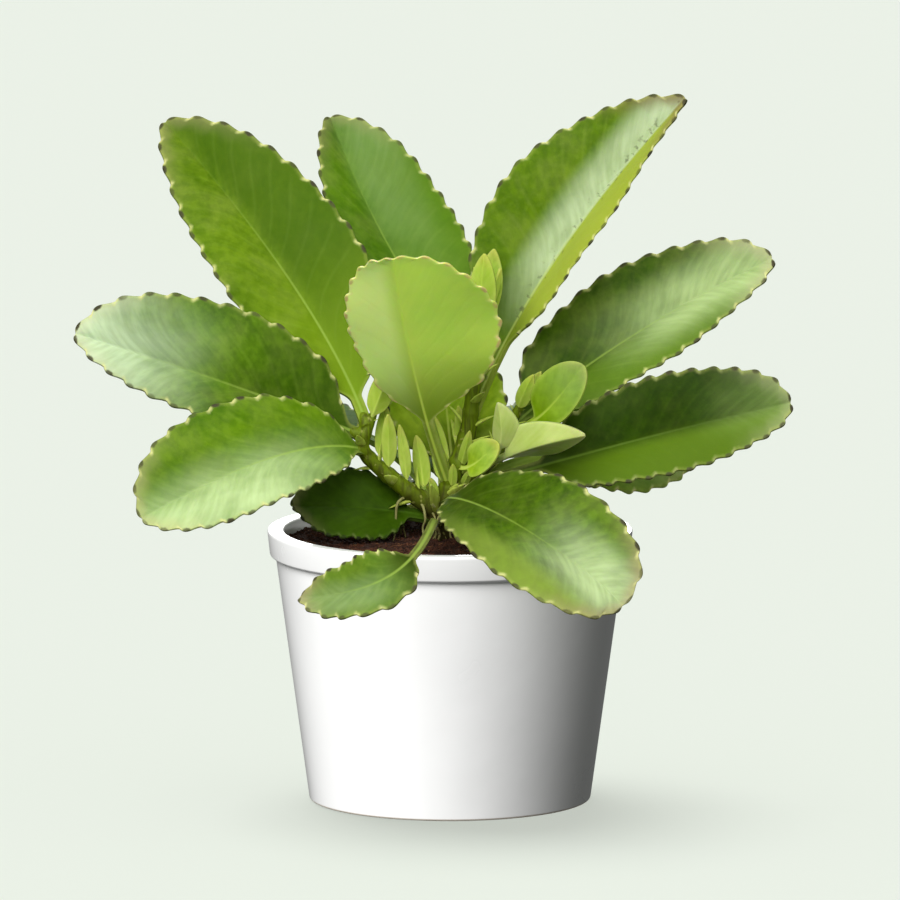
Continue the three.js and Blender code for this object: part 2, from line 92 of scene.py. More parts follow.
class Sketch:
    """Short calls for building a node tree."""

    def __init__(self, tree: NodeTree) -> None:
        """Keeps the tree that the nodes go into."""
        self.tree = tree

    def add(self, kind: str, feeds: dict[Any, Any] | None = None, **settings: Any) -> Node:
        """Adds a node.

        Args:
            kind: The node's type name.
            feeds: A value or a socket for each input, by its name or number.
            settings: The node's own properties.

        Returns:
            The new node.
        """
        node = self.tree.nodes.new(kind)
        for name, value in settings.items():
            setattr(node, name, value)
        for name, value in (feeds or {}).items():
            self.feed(node.inputs[name], value)
        return node

    def feed(self, socket: NodeSocket, value: Any) -> None:
        """Links a socket to the input, or sets its value.

        Args:
            socket: The input.
            value: The socket to link, or the value to set.
        """
        if isinstance(value, NodeSocket):
            self.tree.links.new(value, socket)
        else:
            socket.default_value = (*value, 1.0) if socket.type == "RGBA" else value

    def maths(self, operation: str, *values: Any) -> NodeSocket:
        """One arithmetic step on numbers or sockets."""
        return self.add("ShaderNodeMath", dict(enumerate(values)), operation=operation).outputs[0]

    def band(self, value: Any, low: float, high: float) -> NodeSocket:
        """A smooth rise from 0 where the value is low to 1 where it is high."""
        return self.add("ShaderNodeMapRange", {0: value, 1: low, 2: high, 3: 0.0, 4: 1.0},
                        interpolation_type="SMOOTHSTEP", clamp=True).outputs[0]

    def inverse(self, value: Any) -> NodeSocket:
        """One minus the value."""
        return self.maths("SUBTRACT", 1.0, value)

    def times(self, *values: Any) -> NodeSocket:
        """The product of numbers or sockets."""
        return reduce(lambda product, value: self.maths("MULTIPLY", product, value), values)

    def weighted(self, base: Any, *parts: tuple[Any, float]) -> Any:
        """A base with patterns added, each times its share."""
        return reduce(lambda total, part: self.maths("MULTIPLY_ADD", *part, total), parts, base)


@dataclass(frozen=True)
class Patches:
    """A soft random pattern, in patches that rise from 0 at low to 1 at high.

    The scale is in swells to a metre and the detail in octaves. The share says how much shows.
    """

    scale: float
    detail: float
    low: float
    high: float
    share: float = 1.0


@dataclass(frozen=True)
class Relief:
    """A random relief, in swells to a metre and octaves, its depth in millimetres."""

    scale: float
    detail: float
    depth: float
    strength: float


class Shader(Sketch):
    """A material's node tree with one principled shader."""

    def __init__(self, name: str) -> None:
        """Starts an empty material.

        Args:
            name: The material's name.
        """
        self.material = bpy.data.materials.new(name)
        self.material.use_nodes = True
        super().__init__(self.material.node_tree)
        self.surface = self.tree.nodes["Principled BSDF"]
        self.places = self.add("ShaderNodeTexCoord").outputs["Object"]

    def set(self, **values: Any) -> None:
        """Sets or feeds the shader's own inputs, with _ for a space in their names."""
        for name, value in values.items():
            self.feed(self.surface.inputs[name.replace("_", " ")], value)

    def mix(self, share: Any, first: Any, second: Any) -> NodeSocket:
        """A colour between two colours or sockets, by the second one's share."""
        return self.add("ShaderNodeMix", {0: share, 6: first, 7: second},
                        data_type="RGBA", clamp_factor=True).outputs[2]

    def noise(self, scale: float, detail: float, places: Any = None) -> NodeSocket:
        """Soft random swells, about 0 to 1, so many to a metre and with so many octaves."""
        return self.add("ShaderNodeTexNoise", {
            "Vector": places or self.places, "Scale": scale, "Detail": detail}).outputs["Fac"]

    def stretched(self, places: Any, scale: Point) -> NodeSocket:
        """The coordinates, stretched by a factor along each axis."""
        return self.add("ShaderNodeMapping", {"Vector": places, "Scale": scale}).outputs[0]

    def bump(self, height: Any, depth: float, strength: Any, below: Any = None) -> NodeSocket:
        """A normal that follows a height, its depth in metres, over the normal below it."""
        feeds = {"Height": height, "Distance": depth, "Strength": strength}
        return self.add("ShaderNodeBump", feeds | ({"Normal": below} if below else {})).outputs[0]

    def patches(self, pattern: Patches) -> NodeSocket:
        """The pattern's patches, 0 between them and 1 on them."""
        return self.band(self.noise(pattern.scale, pattern.detail), pattern.low, pattern.high)

    def patched(self, pattern: Patches, first: Any, second: Any) -> NodeSocket:
        """The first colour, with the second on the patches by their share."""
        return self.mix(self.times(self.patches(pattern), pattern.share), first, second)

    def relief(self, relief: Relief, below: Any = None) -> Any:
        """A normal that follows a random relief, over a coarser one where there is one."""
        height = self.noise(relief.scale, relief.detail)
        return self.bump(height, relief.depth * MM, relief.strength, below)

    def height(self) -> NodeSocket:
        """The height over the ground, in metres."""
        return self.add("ShaderNodeSeparateXYZ", {0: self.places}).outputs["Z"]

    def above(self, height: Any, levels: Pair) -> NodeSocket:
        """A rise from 0 to 1 between two levels, given in millimetres."""
        return self.band(height, levels[0] * MM, levels[1] * MM)

    def near(self, distance: Any, reach: Pair) -> NodeSocket:
        """1 up to the nearer distance, falling to 0 at the farther."""
        return self.inverse(self.band(distance, *reach))


class Growth(Sketch):
    """A Geometry Nodes tree with named inputs, which turns a host's geometry into a plain mesh."""

    def __init__(self, name: str) -> None:
        """Starts a tree with geometry and a material going in, and geometry coming out.

        Args:
            name: The tree's name.
        """
        group = bpy.data.node_groups.new(name, "GeometryNodeTree")
        for way in ("INPUT", "OUTPUT"):
            group.interface.new_socket("Geometry", in_out=way, socket_type="NodeSocketGeometry")
        super().__init__(group)
        self.entry = self.add("NodeGroupInput")
        self.identifiers: dict[str, str] = {}
        self.named("Material", "Material")

    def named(self, kind: str, *names: str) -> list[NodeSocket]:
        """Adds named inputs.

        Args:
            kind: Their sockets' type, such as Float, Int or Material.
            names: Their names.

        Returns:
            The sockets that give their values inside the tree.
        """
        for name in names:
            item = self.tree.interface.new_socket(
                name, in_out="INPUT", socket_type=f"NodeSocket{kind}")
            self.identifiers[name] = item.identifier
        return [self.given(name) for name in names]

    def given(self, name: str) -> NodeSocket:
        """The socket that gives an input's value inside the tree."""
        return self.entry.outputs[name]

    def parts(self, vector: Any = None) -> NodeOutputs:
        """The outputs X, Y and Z of a vector, or of each point's place where none is given."""
        vector = vector or self.add("GeometryNodeInputPosition").outputs[0]
        return self.add("ShaderNodeSeparateXYZ", {0: vector}).outputs

    def moved(self, geometry: Any, **feeds: Any) -> NodeSocket:
        """The geometry, its points moved to a Position or by an Offset."""
        return self.add("GeometryNodeSetPosition", {"Geometry": geometry, **feeds}).outputs[0]

    def vector(self, *parts: Any) -> NodeSocket:
        """A vector of three parts."""
        return self.add("ShaderNodeCombineXYZ", dict(enumerate(parts))).outputs[0]

    def random(self, ends: Pair, seed: Any) -> NodeSocket:
        """A random number for each point, from a fixed seed."""
        return self.add("FunctionNodeRandomValue", {
            2: ends[0], 3: ends[1], "Seed": seed}).outputs[1]

    def random_vector(self, ends: Pair, seed: Any) -> NodeSocket:
        """A random vector for each point, from a fixed seed."""
        feeds = {0: (ends[0],) * 3, 1: (ends[1],) * 3, "Seed": seed}
        return self.add("FunctionNodeRandomValue", feeds, data_type="FLOAT_VECTOR").outputs[0]

    def finish(self, geometry: NodeSocket) -> None:
        """Ends the tree: instances made real, shaded smooth and given the material.

        Args:
            geometry: The finished geometry.
        """
        real = self.add("GeometryNodeRealizeInstances", {0: geometry}).outputs[0]
        smooth = self.add("GeometryNodeSetShadeSmooth", {0: real}).outputs[0]
        dressed = self.add("GeometryNodeSetMaterial", {
            "Geometry": smooth, "Material": self.given("Material")})
        self.add("NodeGroupOutput", {0: dressed.outputs[0]})

    def grow(self, host: Object, material: Material, **values: Any) -> Mesh:
        """Runs the tree on a host, which is removed after it.

        Args:
            host: The object whose geometry goes in.
            material: The material that the tree gives.
            values: A value for each other input, with _ for a space in its name.

        Returns:
            The evaluated result as a mesh of its own.
        """
        modifier = host.modifiers.new("growth", "NODES")
        modifier.node_group = self.tree
        for name, value in {"Material": material, **values}.items():
            modifier[self.identifiers[name.replace("_", " ")]] = value
        mesh = baked(host)
        host.modifiers.remove(modifier)
        bpy.data.objects.remove(host)
        return mesh


# ---- Meshes ----


def baked(thing: Object) -> Mesh:
    """A mesh of its own, with the object's modifiers applied."""
    depsgraph = bpy.context.evaluated_depsgraph_get()
    return bpy.data.meshes.new_from_object(thing.evaluated_get(depsgraph), depsgraph=depsgraph)


def in_scene(name: str, data: Any) -> Object:
    """A new object at the origin.

    Args:
        name: The object's name.
        data: Its mesh, lamp or camera.

    Returns:
        The object.
    """
    thing = bpy.data.objects.new(name, data)
    bpy.context.scene.collection.objects.link(thing)
    return thing


def mesh_of(name: str, points: np.ndarray, faces: Sequence[Sequence[int]]) -> Mesh:
    """A smooth-shaded mesh.

    Args:
        name: The mesh's name.
        points: Its points, in millimetres.
        faces: The point numbers of each face.

    Returns:
        The mesh.
    """
    mesh = bpy.data.meshes.new(name)
    mesh.from_pydata((np.asarray(points) * MM).tolist(), [], [list(face) for face in faces])
    mesh.shade_smooth()
    return mesh


def lines_in_scene(name: str, points: np.ndarray, edges: Sequence[Pair]) -> Object:
    """An object of lines alone, as a host for a tree.

    Args:
        name: The object's name.
        points: Its points, in millimetres.
        edges: The point numbers of each edge.

    Returns:
        The object.
    """
    mesh = bpy.data.meshes.new(name)
    mesh.from_pydata((points * MM).tolist(), edges, [])
    return in_scene(name, mesh)


def points_of(places: Sequence[np.ndarray]) -> tuple[Point, ...]:
    """Arrays of three numbers as plain points."""
    return tuple(map(tuple, places))


def heading(bearing: float) -> np.ndarray:
    """The level unit vector at a bearing in degrees, turned leftwards from +X."""
    turn = math.radians(bearing)
    return np.array((math.cos(turn), math.sin(turn), 0))


def outward(mesh: Mesh, weld: float = 1e-7) -> Mesh:
    """Merges doubled points and turns every face outwards.

    Args:
        mesh: The mesh to mend.
        weld: Points closer than this, in metres, are merged.

    Returns:
        The same mesh.
    """
    work = bmesh.new()
    work.from_mesh(mesh)
    bmesh.ops.remove_doubles(work, verts=work.verts, dist=weld)
    bmesh.ops.recalc_face_normals(work, faces=work.faces)
    if work.calc_volume(signed=True) < 0:
        bmesh.ops.reverse_faces(work, faces=work.faces)
    work.to_mesh(mesh)
    work.free()
    return mesh


def dress(thing: Object, material: Material) -> None:
    """Gives an object one material."""
    thing.data.materials.clear()
    thing.data.materials.append(material)


def hand_over(thing: Object, slot: Slot, *nodes: str) -> None:
    """Seats a finished piece in the frame.

    Args:
        thing: The finished piece.
        slot: The record's slot; not used.
        nodes: The solids that it stands for.
    """
    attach(thing, ROOT_BODY)
    if nodes:
        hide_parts(*nodes)
    thing.data.calc_loop_triangles()
    log.info("%s: %d triangles", thing.name, len(thing.data.loop_triangles))


# ---- Finishes ----


@dataclass(frozen=True)
class GlazeFinish:
    """White gloss glaze with a faint ripple, and bare fired clay on the foot.

    The foot and the band are found by their heights, in millimetres. The band's greyer white is
    painted shade.
    """

    white: Rgb = (0.86, 0.86, 0.85)
    pooled: Rgb = (0.78, 0.78, 0.77)
    clay: Rgb = (0.62, 0.55, 0.46)
    # a greyer white on the rim band, painted shade
    band: Rgb = (0.72, 0.72, 0.71)
    foot_ends: Pair = (0.54, 0.9)
    band_shade_starts: Pair = (87.4, 87.9)
    clouds: Patches = Patches(28, 4, 0.35, 0.75, 0.5)
    speckle: Patches = Patches(2600, 2, 0.68, 0.78, 0.12)
    ripple: Relief = Relief(90, 2, 0.2, 0.35)
    grain_scale: float = 1500
    grain_depth: float = 0.1
    roughness: float = 0.2
    cloud_roughness: float = 0.08
    clay_roughness: float = 0.6
    coat: float = 0.35
    coat_roughness: float = 0.08

    def material(self) -> Material:
        """Builds the node material.

        Returns:
            The material.
        """
        shader = Shader("white_glaze")
        bare = shader.inverse(shader.above(shader.height(), self.foot_ends))
        # the rim band's painted shade, by height
        band_shade = shader.above(shader.height(), self.band_shade_starts)
        clouds = shader.patches(self.clouds)
        white = shader.mix(band_shade, self.white, self.band)
        white = shader.mix(shader.times(clouds, self.clouds.share), white, self.pooled)
        white = shader.patched(self.speckle, white, self.clay)
        grain = shader.noise(self.grain_scale, 4)
        shader.set(
            Base_Color=shader.mix(bare, white, self.clay),
            Roughness=shader.weighted(self.roughness, (clouds, self.cloud_roughness),
                                      (bare, self.clay_roughness)),
            Normal=shader.bump(grain, self.grain_depth * MM, bare, shader.relief(self.ripple)),
            Coat_Weight=self.coat,
            Coat_Roughness=self.coat_roughness,
        )
        return shader.material


@dataclass(frozen=True)
class PeatFinish:
    """Dark crumbly peat, with grains in swells to a metre and a relief in millimetres."""

    name: str = "dark_peat"
    dark: Rgb = srgb(38, 20, 14)
    light: Rgb = srgb(88, 52, 36)
    grain_scale: float = 900
    grain_share: float = 0.4
    damp: Patches = Patches(160, 5, 0.35, 0.7, 0.5)
    relief_fineness: float = 1.4
    relief_depth: float = 0.5
    relief_strength: float = 0.8
    roughness: float = 0.98
    grain_sheen: float = 0.15
    shine: float = 0.2

    def material(self) -> Material:
        """Builds the node material.

        Returns:
            The material.
        """
        shader = Shader(self.name)
        grains = shader.patches(Patches(self.grain_scale, 4, 0.4, 0.75))
        share = shader.weighted(0.0, (grains, self.grain_share),
                                (shader.patches(self.damp), self.damp.share))
        shader.set(
            Base_Color=shader.mix(share, self.dark, self.light),
            Roughness=shader.weighted(self.roughness, (grains, -self.grain_sheen)),
            Normal=shader.relief(Relief(self.grain_scale * self.relief_fineness, 6,
                                        self.relief_depth, self.relief_strength)),
            Specular_IOR_Level=self.shine,
        )
        return shader.material


@dataclass(frozen=True)
class StemFinish:
    """Stem skin, green above and dark brown below, with streaks and corky spots. The stem's brown
    is its woody base, and where it reaches up through the crown it is painted shade.

    Scales are in swells to a metre, and heights and depths in millimetres.
    """

    name: str
    foot: Rgb = srgb(52, 46, 12)
    green: Rgb = srgb(98, 118, 8)
    cork: Rgb = srgb(158, 158, 80)
    # the foot colour reaches up to here: woody skin low down, and painted shade through the crown
    # on the stem
    dark_foot_below: float = 106
    green_above: float = 126
    uneven_scale: float = 120
    uneven_by: float = 16
    streak_stretch: Point = (700, 700, 90)
    streak_band: Pair = (0.4, 0.7)
    streak_share: float = 0.7
    streak_depth: float = 0.5
    streak_strength: float = 0.6
    spots: Patches = Patches(420, 2, 0.62, 0.7, 0.55)
    spot_depth: float = 0.3
    spot_strength: float = 0.4
    roughness: float = 0.78
    green_sheen: float = 0.25
    glow: float = 0.06
    glow_radius: Rgb = (0.5, 0.8, 0.2)
    glow_depth: float = 2
    shine: float = 0.15

    def material(self) -> Material:
        """Builds the node material.

        Returns:
            The material.
        """
        shader = Shader(self.name)
        uneven = shader.noise(self.uneven_scale, 3)
        height = shader.weighted(shader.height(), (uneven, self.uneven_by * MM))
        greenness = shader.above(height, (self.dark_foot_below, self.green_above))
        streaks = shader.noise(1, 4, shader.stretched(shader.places, self.streak_stretch))
        streaked = shader.times(shader.band(streaks, *self.streak_band), self.streak_share)
        spots = shader.patches(self.spots)
        colour = shader.mix(greenness, self.foot, self.green)
        colour = shader.mix(streaked, colour, self.foot)
        colour = shader.mix(shader.times(spots, self.spots.share), colour, self.cork)
        relief = shader.bump(streaks, self.streak_depth * MM, self.streak_strength)
        shader.set(
            Base_Color=colour,
            Roughness=shader.weighted(self.roughness, (greenness, -self.green_sheen)),
            Normal=shader.bump(spots, self.spot_depth * MM, self.spot_strength, relief),
            Subsurface_Weight=self.glow,
            Subsurface_Radius=self.glow_radius,
            Subsurface_Scale=self.glow_depth * MM,
            Specular_IOR_Level=self.shine,
        )
        return shader.material


@dataclass(frozen=True)
class SkinRule:
    """What the skins of all leaves share.

    Scales are in swells to a metre, and lengths in millimetres. A reach holds the distance up to
    which something is full, and the distance where it ends.
    """

    clouds: Patches = Patches(38, 3, 0.32, 0.68, 0.38)
    mottle: Patches = Patches(300, 4, 0.38, 0.66, 0.36)
    flecks: Patches = Patches(520, 3, 0.45, 0.75, 0.04)
    sallow: Patches = Patches(85, 4, 0.35, 0.72)
    under_clouds: Patches = Patches(60, 4, 0.3, 0.7, 0.4)
    streak_stretch: Point = (2.6, 0.11, 1)
    streak_band: Pair = (0.28, 0.74)
    streak_share: float = 0.4
    under_streak_share: float = 0.25
    vein_reach: Pair = (0.0, 0.16)
    vein_off_rib: Pair = (1.0, 4.0)
    vein_off_edge: Pair = (1.5, 6.0)
    vein_share: float = 0.045
    vein_depth: float = 0.2
    vein_strength: float = 0.15
    # The bloom_ fields shape the glaucous coat, which is partly painted sheen.
    bloom_stretch: Point = (4, 9, 1)
    bloom_band: Pair = (0.3, 0.65)
    bloom_streaks: float = 0.5
    bloom_core: float = 0.15
    bloom_evenness: float = 0.5
    bloom_stop: Pair = (-1.5, 0.5)
    bloom_roughness: float = 0.12
    ridge_reach: Pair = (0.15, 0.8)
    ridge_taper: float = 0.6
    ridge_fade: Pair = (-0.1, 0.9)
    ridge_share: float = 0.7
    specks: Patches = Patches(440, 3, 0.58, 0.68)
    speck_reach: Pair = (0.5, 4.0)
    blush_along: Pair = (0.7, 1.0)
    blush_reach: Pair = (0.5, 8.0)
    ragged_scale: float = 800
    ragged_by: float = 1.0
    wear: Patches = Patches(110, 3, 0.3, 0.7, 0.7)
    least_worn: float = 0.6
    rim_reach: Pair = (0.1, 2.2)
    rim_share: float = 0.25
    notch_at: float = 0.97
    notch_reach: Pair = (0.05, 0.2)
    notch_share: float = 0.75
    tooth_at: float = 0.66
    tooth_length: float = 0.2
    tooth_depth: float = 1.7
    tooth_reach: Pair = (0.35, 1.25)
    tooth_share: float = 0.85
    swells: Relief = Relief(130, 4, 0.6, 0.35)
    grain: Relief = Relief(1700, 3, 0.06, 0.5)
    sheen_scale: float = 90
    sheen_range: float = 0.12
    shine: float = 0.05
    glow_radius: Rgb = (0.45, 0.9, 0.12)
    glow_depth: float = 2.5


SKIN = SkinRule()


class LeafShader(Shader):
    """A leaf skin's node tree, with what the blade's mesh keeps at each point.

    across and edge are the distances from the rib and from the margin, and side is the distance to
    the left of the rib, all in millimetres. along goes from 0 at the blade's foot to 1 at its tip,
    upper is 1 on the upper side, and scallop and vein count those passed so far. streaks and veins
    are 1 on the streaks and on the fine veins.
    """

    def __init__(self, name: str) -> None:
        """Starts the tree and reads the blade.

        Args:
            name: The material's name.
        """
        super().__init__(name)
        self.across, self.edge, self.along, self.scallop, self.upper, self.vein = (
            self.add("ShaderNodeAttribute", attribute_name=kept).outputs["Fac"]
            for kept in ("across", "edge", "along", "scallop", "upper", "vein"))
        self.blade = self.add("ShaderNodeUVMap", uv_map="blade").outputs[0]
        left = self.add("ShaderNodeSeparateXYZ", {0: self.blade}).outputs["Y"]
        self.side = self.times(left, UV_UNIT)
        places = self.add("ShaderNodeCombineXYZ", {"X": self.vein, "Y": self.across}).outputs[0]
        streaks = self.noise(1, 4, self.stretched(places, SKIN.streak_stretch))
        self.streaks = self.band(streaks, *SKIN.streak_band)
        beside = self.maths("PINGPONG", self.vein, 0.5)
        self.veins = self.times(self.near(beside, SKIN.vein_reach),
                                self.band(self.across, *SKIN.vein_off_rib),
                                self.band(self.edge, *SKIN.vein_off_edge))


@dataclass(frozen=True)
class LeafFinish:
    """A leaf's skin: mottled green, a pale margin with dark teeth, and a glaucous coat.

    The glaucous coat is partly real and partly painted sheen. It lies along a line beside the rib.
    Its place is in millimetres, to the left of the rib above 0, and where it stops, it ends at the
    rib. Freckles are corky specks beside the rib. The right half takes painted light and shade,
    and the blade's foot takes painted shade on most leaves and a lighter green on the tall leaf.
    """

    name: str
    deep: Rgb = srgb(62, 104, 12)
    fresh: Rgb = srgb(96, 140, 26)
    under: Rgb = srgb(118, 150, 62)
    rib: Rgb = srgb(150, 178, 74)
    margin: Rgb = srgb(182, 188, 100)
    pale_notch: Rgb = srgb(214, 214, 142)
    tooth: Rgb = srgb(66, 64, 44)
    # the glaucous coat's colour, also painted sheen
    wax_sheen_colour: Rgb = srgb(164, 188, 138)
    blush: Rgb = srgb(166, 152, 112)
    # the right half's colour: painted light on halves that are lit or glow through, painted shade
    # on halves turned away
    right_half_painted_light: Rgb = srgb(140, 168, 40)
    # the blade's foot colour: painted shade near the crown on most leaves, a lighter green on the
    # tall leaf
    foot: Rgb = srgb(28, 46, 4)
    foot_shading: float = 0.0
    foot_ends: float = 0.5
    # how much of the right half's painted light and shade shows, and where it starts
    turned: float = 0.0
    turned_at: float = -1.2
    turned_over: float = 7.5
    # share, place and width of the glaucous coat, partly real and partly painted sheen
    wax_sheen_share: float = 0.2
    bloom_from: float = 0.1
    bloom_to: float = 0.8
    bloom_side: float = 0.0
    bloom_width: float = 16.0
    bloom_stops: bool = False
    tinged: float = 0.3
    freckled: float = 0.0
    sallow: float = 0.1
    gloss: float = 0.42
    glow: float = 0.1

    def ground(self, shader: LeafShader) -> Any:
        """The mottled and streaked green, with painted light and shade on the right half and
        painted shade at the blade's foot.

        Args:
            shader: The tree it goes into.

        Returns:
            The colour's socket.
        """
        share = shader.weighted(
            0.0, (shader.streaks, SKIN.streak_share),
            (shader.patches(SKIN.mottle), SKIN.mottle.share),
            (shader.patches(SKIN.clouds), SKIN.clouds.share))
        above = shader.patched(SKIN.flecks, shader.mix(share, self.deep, self.fresh), self.rib)
        sallow = shader.times(shader.patches(SKIN.sallow), self.sallow)
        share = shader.weighted(
            0.0, (shader.streaks, SKIN.under_streak_share),
            (shader.patches(SKIN.under_clouds), SKIN.under_clouds.share))
        colour = shader.mix(shader.inverse(shader.upper), shader.mix(sallow, above, self.margin),
                            shader.mix(share, self.under, self.rib))
        # painted light and shade on the right half
        if self.turned:
            half = self.turned_over / 2
            right = shader.band(shader.side, self.turned_at + half, self.turned_at - half)
            colour = shader.mix(shader.times(right, self.turned), colour, self.right_half_painted_light)
        # the blade's foot colour, mostly painted shade
        if self.foot_shading:
            foot = shader.near(shader.along, (0.0, self.foot_ends))
            colour = shader.mix(shader.times(foot, self.foot_shading), colour, self.foot)
        return colour

    def wax_and_sheen(self, shader: LeafShader) -> Any:
        """The glaucous coat, streaky and uneven, on the upper side alone: partly real and partly
        painted sheen.

        Args:
            shader: The tree it goes into.

        Returns:
            Its socket, 1 where it is full.
        """
        offset = shader.maths("ABSOLUTE", shader.maths("SUBTRACT", shader.side, self.bloom_side))
        soft = shader.noise(1, 3, shader.stretched(shader.blade, SKIN.bloom_stretch))
        patchy = shader.weighted(0.0, (shader.streaks, SKIN.bloom_streaks),
                                 (shader.band(soft, *SKIN.bloom_band), 1 - SKIN.bloom_streaks))
        return shader.times(
            shader.near(offset, (self.bloom_width * SKIN.bloom_core, self.bloom_width)),
            shader.band(shader.along, self.bloom_from, self.bloom_to),
            shader.weighted(SKIN.bloom_evenness, (patchy, 1 - SKIN.bloom_evenness)),
            shader.band(shader.side, *SKIN.bloom_stop) if self.bloom_stops else 1.0,
            shader.upper,
        )

    def ribbed(self, shader: LeafShader, colour: Any) -> Any:
        """The pale rib, its corky freckles and the blush of the tip.

        Args:
            shader: The tree they go into.
            colour: The blade's colour so far.

        Returns:
            The new colour's socket.
        """
        taper = shader.weighted(1.0, (shader.along, -SKIN.ridge_taper))
        ridge = shader.times(
            shader.near(shader.maths("DIVIDE", shader.across, taper), SKIN.ridge_reach),
            shader.near(shader.along, SKIN.ridge_fade), SKIN.ridge_share)
        colour = shader.mix(ridge, colour, self.rib)
        if self.freckled:
            specks = shader.times(shader.patches(SKIN.specks),
                                  shader.near(shader.across, SKIN.speck_reach), self.freckled)
            colour = shader.mix(specks, colour, self.tooth)
        tip = shader.times(shader.band(shader.along, *SKIN.blush_along),
                           shader.near(shader.edge, SKIN.blush_reach), self.tinged)
        return shader.mix(tip, colour, self.blush)

    def edged(self, shader: LeafShader, colour: Any) -> Any:
        """The pale margin, palest in the notches, with a dark mark on each tooth.

        Args:
            shader: The tree it goes into.
            colour: The blade's colour so far.

        Returns:
            The new colour's socket.
        """
        ragged = shader.weighted(shader.maths("SUBTRACT", shader.edge, SKIN.ragged_by / 2),
                                 (shader.noise(SKIN.ragged_scale, 2), SKIN.ragged_by))
        worn = shader.weighted(SKIN.least_worn, (shader.patches(SKIN.wear), SKIN.wear.share))
        rim = shader.times(shader.near(ragged, SKIN.rim_reach), worn)
        colour = shader.mix(shader.times(rim, SKIN.rim_share), colour, self.margin)
        shifted = shader.maths("FRACT", shader.maths("ADD", shader.scallop, 1.5 - SKIN.notch_at))
        notch = shader.maths("ABSOLUTE", shader.maths("SUBTRACT", shifted, 0.5))
        patch = shader.times(shader.near(notch, SKIN.notch_reach), rim, SKIN.notch_share)
        colour = shader.mix(patch, colour, self.pale_notch)
        phase = shader.maths("SUBTRACT", shader.maths("FRACT", shader.scallop), SKIN.tooth_at)
        length = shader.maths("DIVIDE", phase, SKIN.tooth_length)
        depth = shader.maths("DIVIDE", ragged, SKIN.tooth_depth)
        reach = shader.maths("ADD", shader.times(length, length), shader.times(depth, depth))
        mark = shader.times(shader.near(reach, SKIN.tooth_reach), worn, SKIN.tooth_share)
        return shader.mix(mark, colour, self.tooth)

    @cache
    def material(self) -> Material:
        """Builds the node material, one for all leaves of this finish.

        Returns:
            The material.
        """
        shader = LeafShader(self.name)
        wax_and_sheen = self.wax_and_sheen(shader)
        veins = shader.times(shader.veins, SKIN.vein_share)
        colour = shader.mix(veins, self.ground(shader), self.rib)
        # the glaucous coat and painted sheen laid over the green
        colour = shader.mix(shader.times(wax_and_sheen, self.wax_sheen_share), colour, self.wax_sheen_colour)
        colour = self.edged(shader, self.ribbed(shader, colour))
        veined = shader.bump(shader.inverse(shader.veins), SKIN.vein_depth * MM,
                             SKIN.vein_strength)
        sheen = shader.noise(SKIN.sheen_scale, 3)
        shader.set(
            Base_Color=colour,
            Roughness=shader.weighted(self.gloss - SKIN.sheen_range / 2, (sheen, SKIN.sheen_range),
                                      (wax_and_sheen, SKIN.bloom_roughness)),
            Normal=shader.relief(SKIN.grain, shader.relief(SKIN.swells, veined)),
            Specular_IOR_Level=SKIN.shine,
            Subsurface_Weight=self.glow,
            Subsurface_Radius=SKIN.glow_radius,
            Subsurface_Scale=SKIN.glow_depth * MM,
        )
        return shader.material


@dataclass(frozen=True)
class FloorFinish:
    """The plain pale floor, with very faint clouds."""

    pale: Rgb = (0.83, 0.88, 0.80)
    clouded: Rgb = (0.8, 0.85, 0.78)
    clouds: Patches = Patches(0.8, 2, 0.3, 0.7, 0.02)
    roughness: float = 0.95

    def material(self) -> Material:
        """Builds the node material.

        Returns:
            The material.
        """
        shader = Shader("pale_floor")
        shader.set(Base_Color=shader.patched(self.clouds, self.pale, self.clouded),
                   Roughness=self.roughness, Specular_IOR_Level=0.0)
        return shader.material


# ---- Pot and peat ----


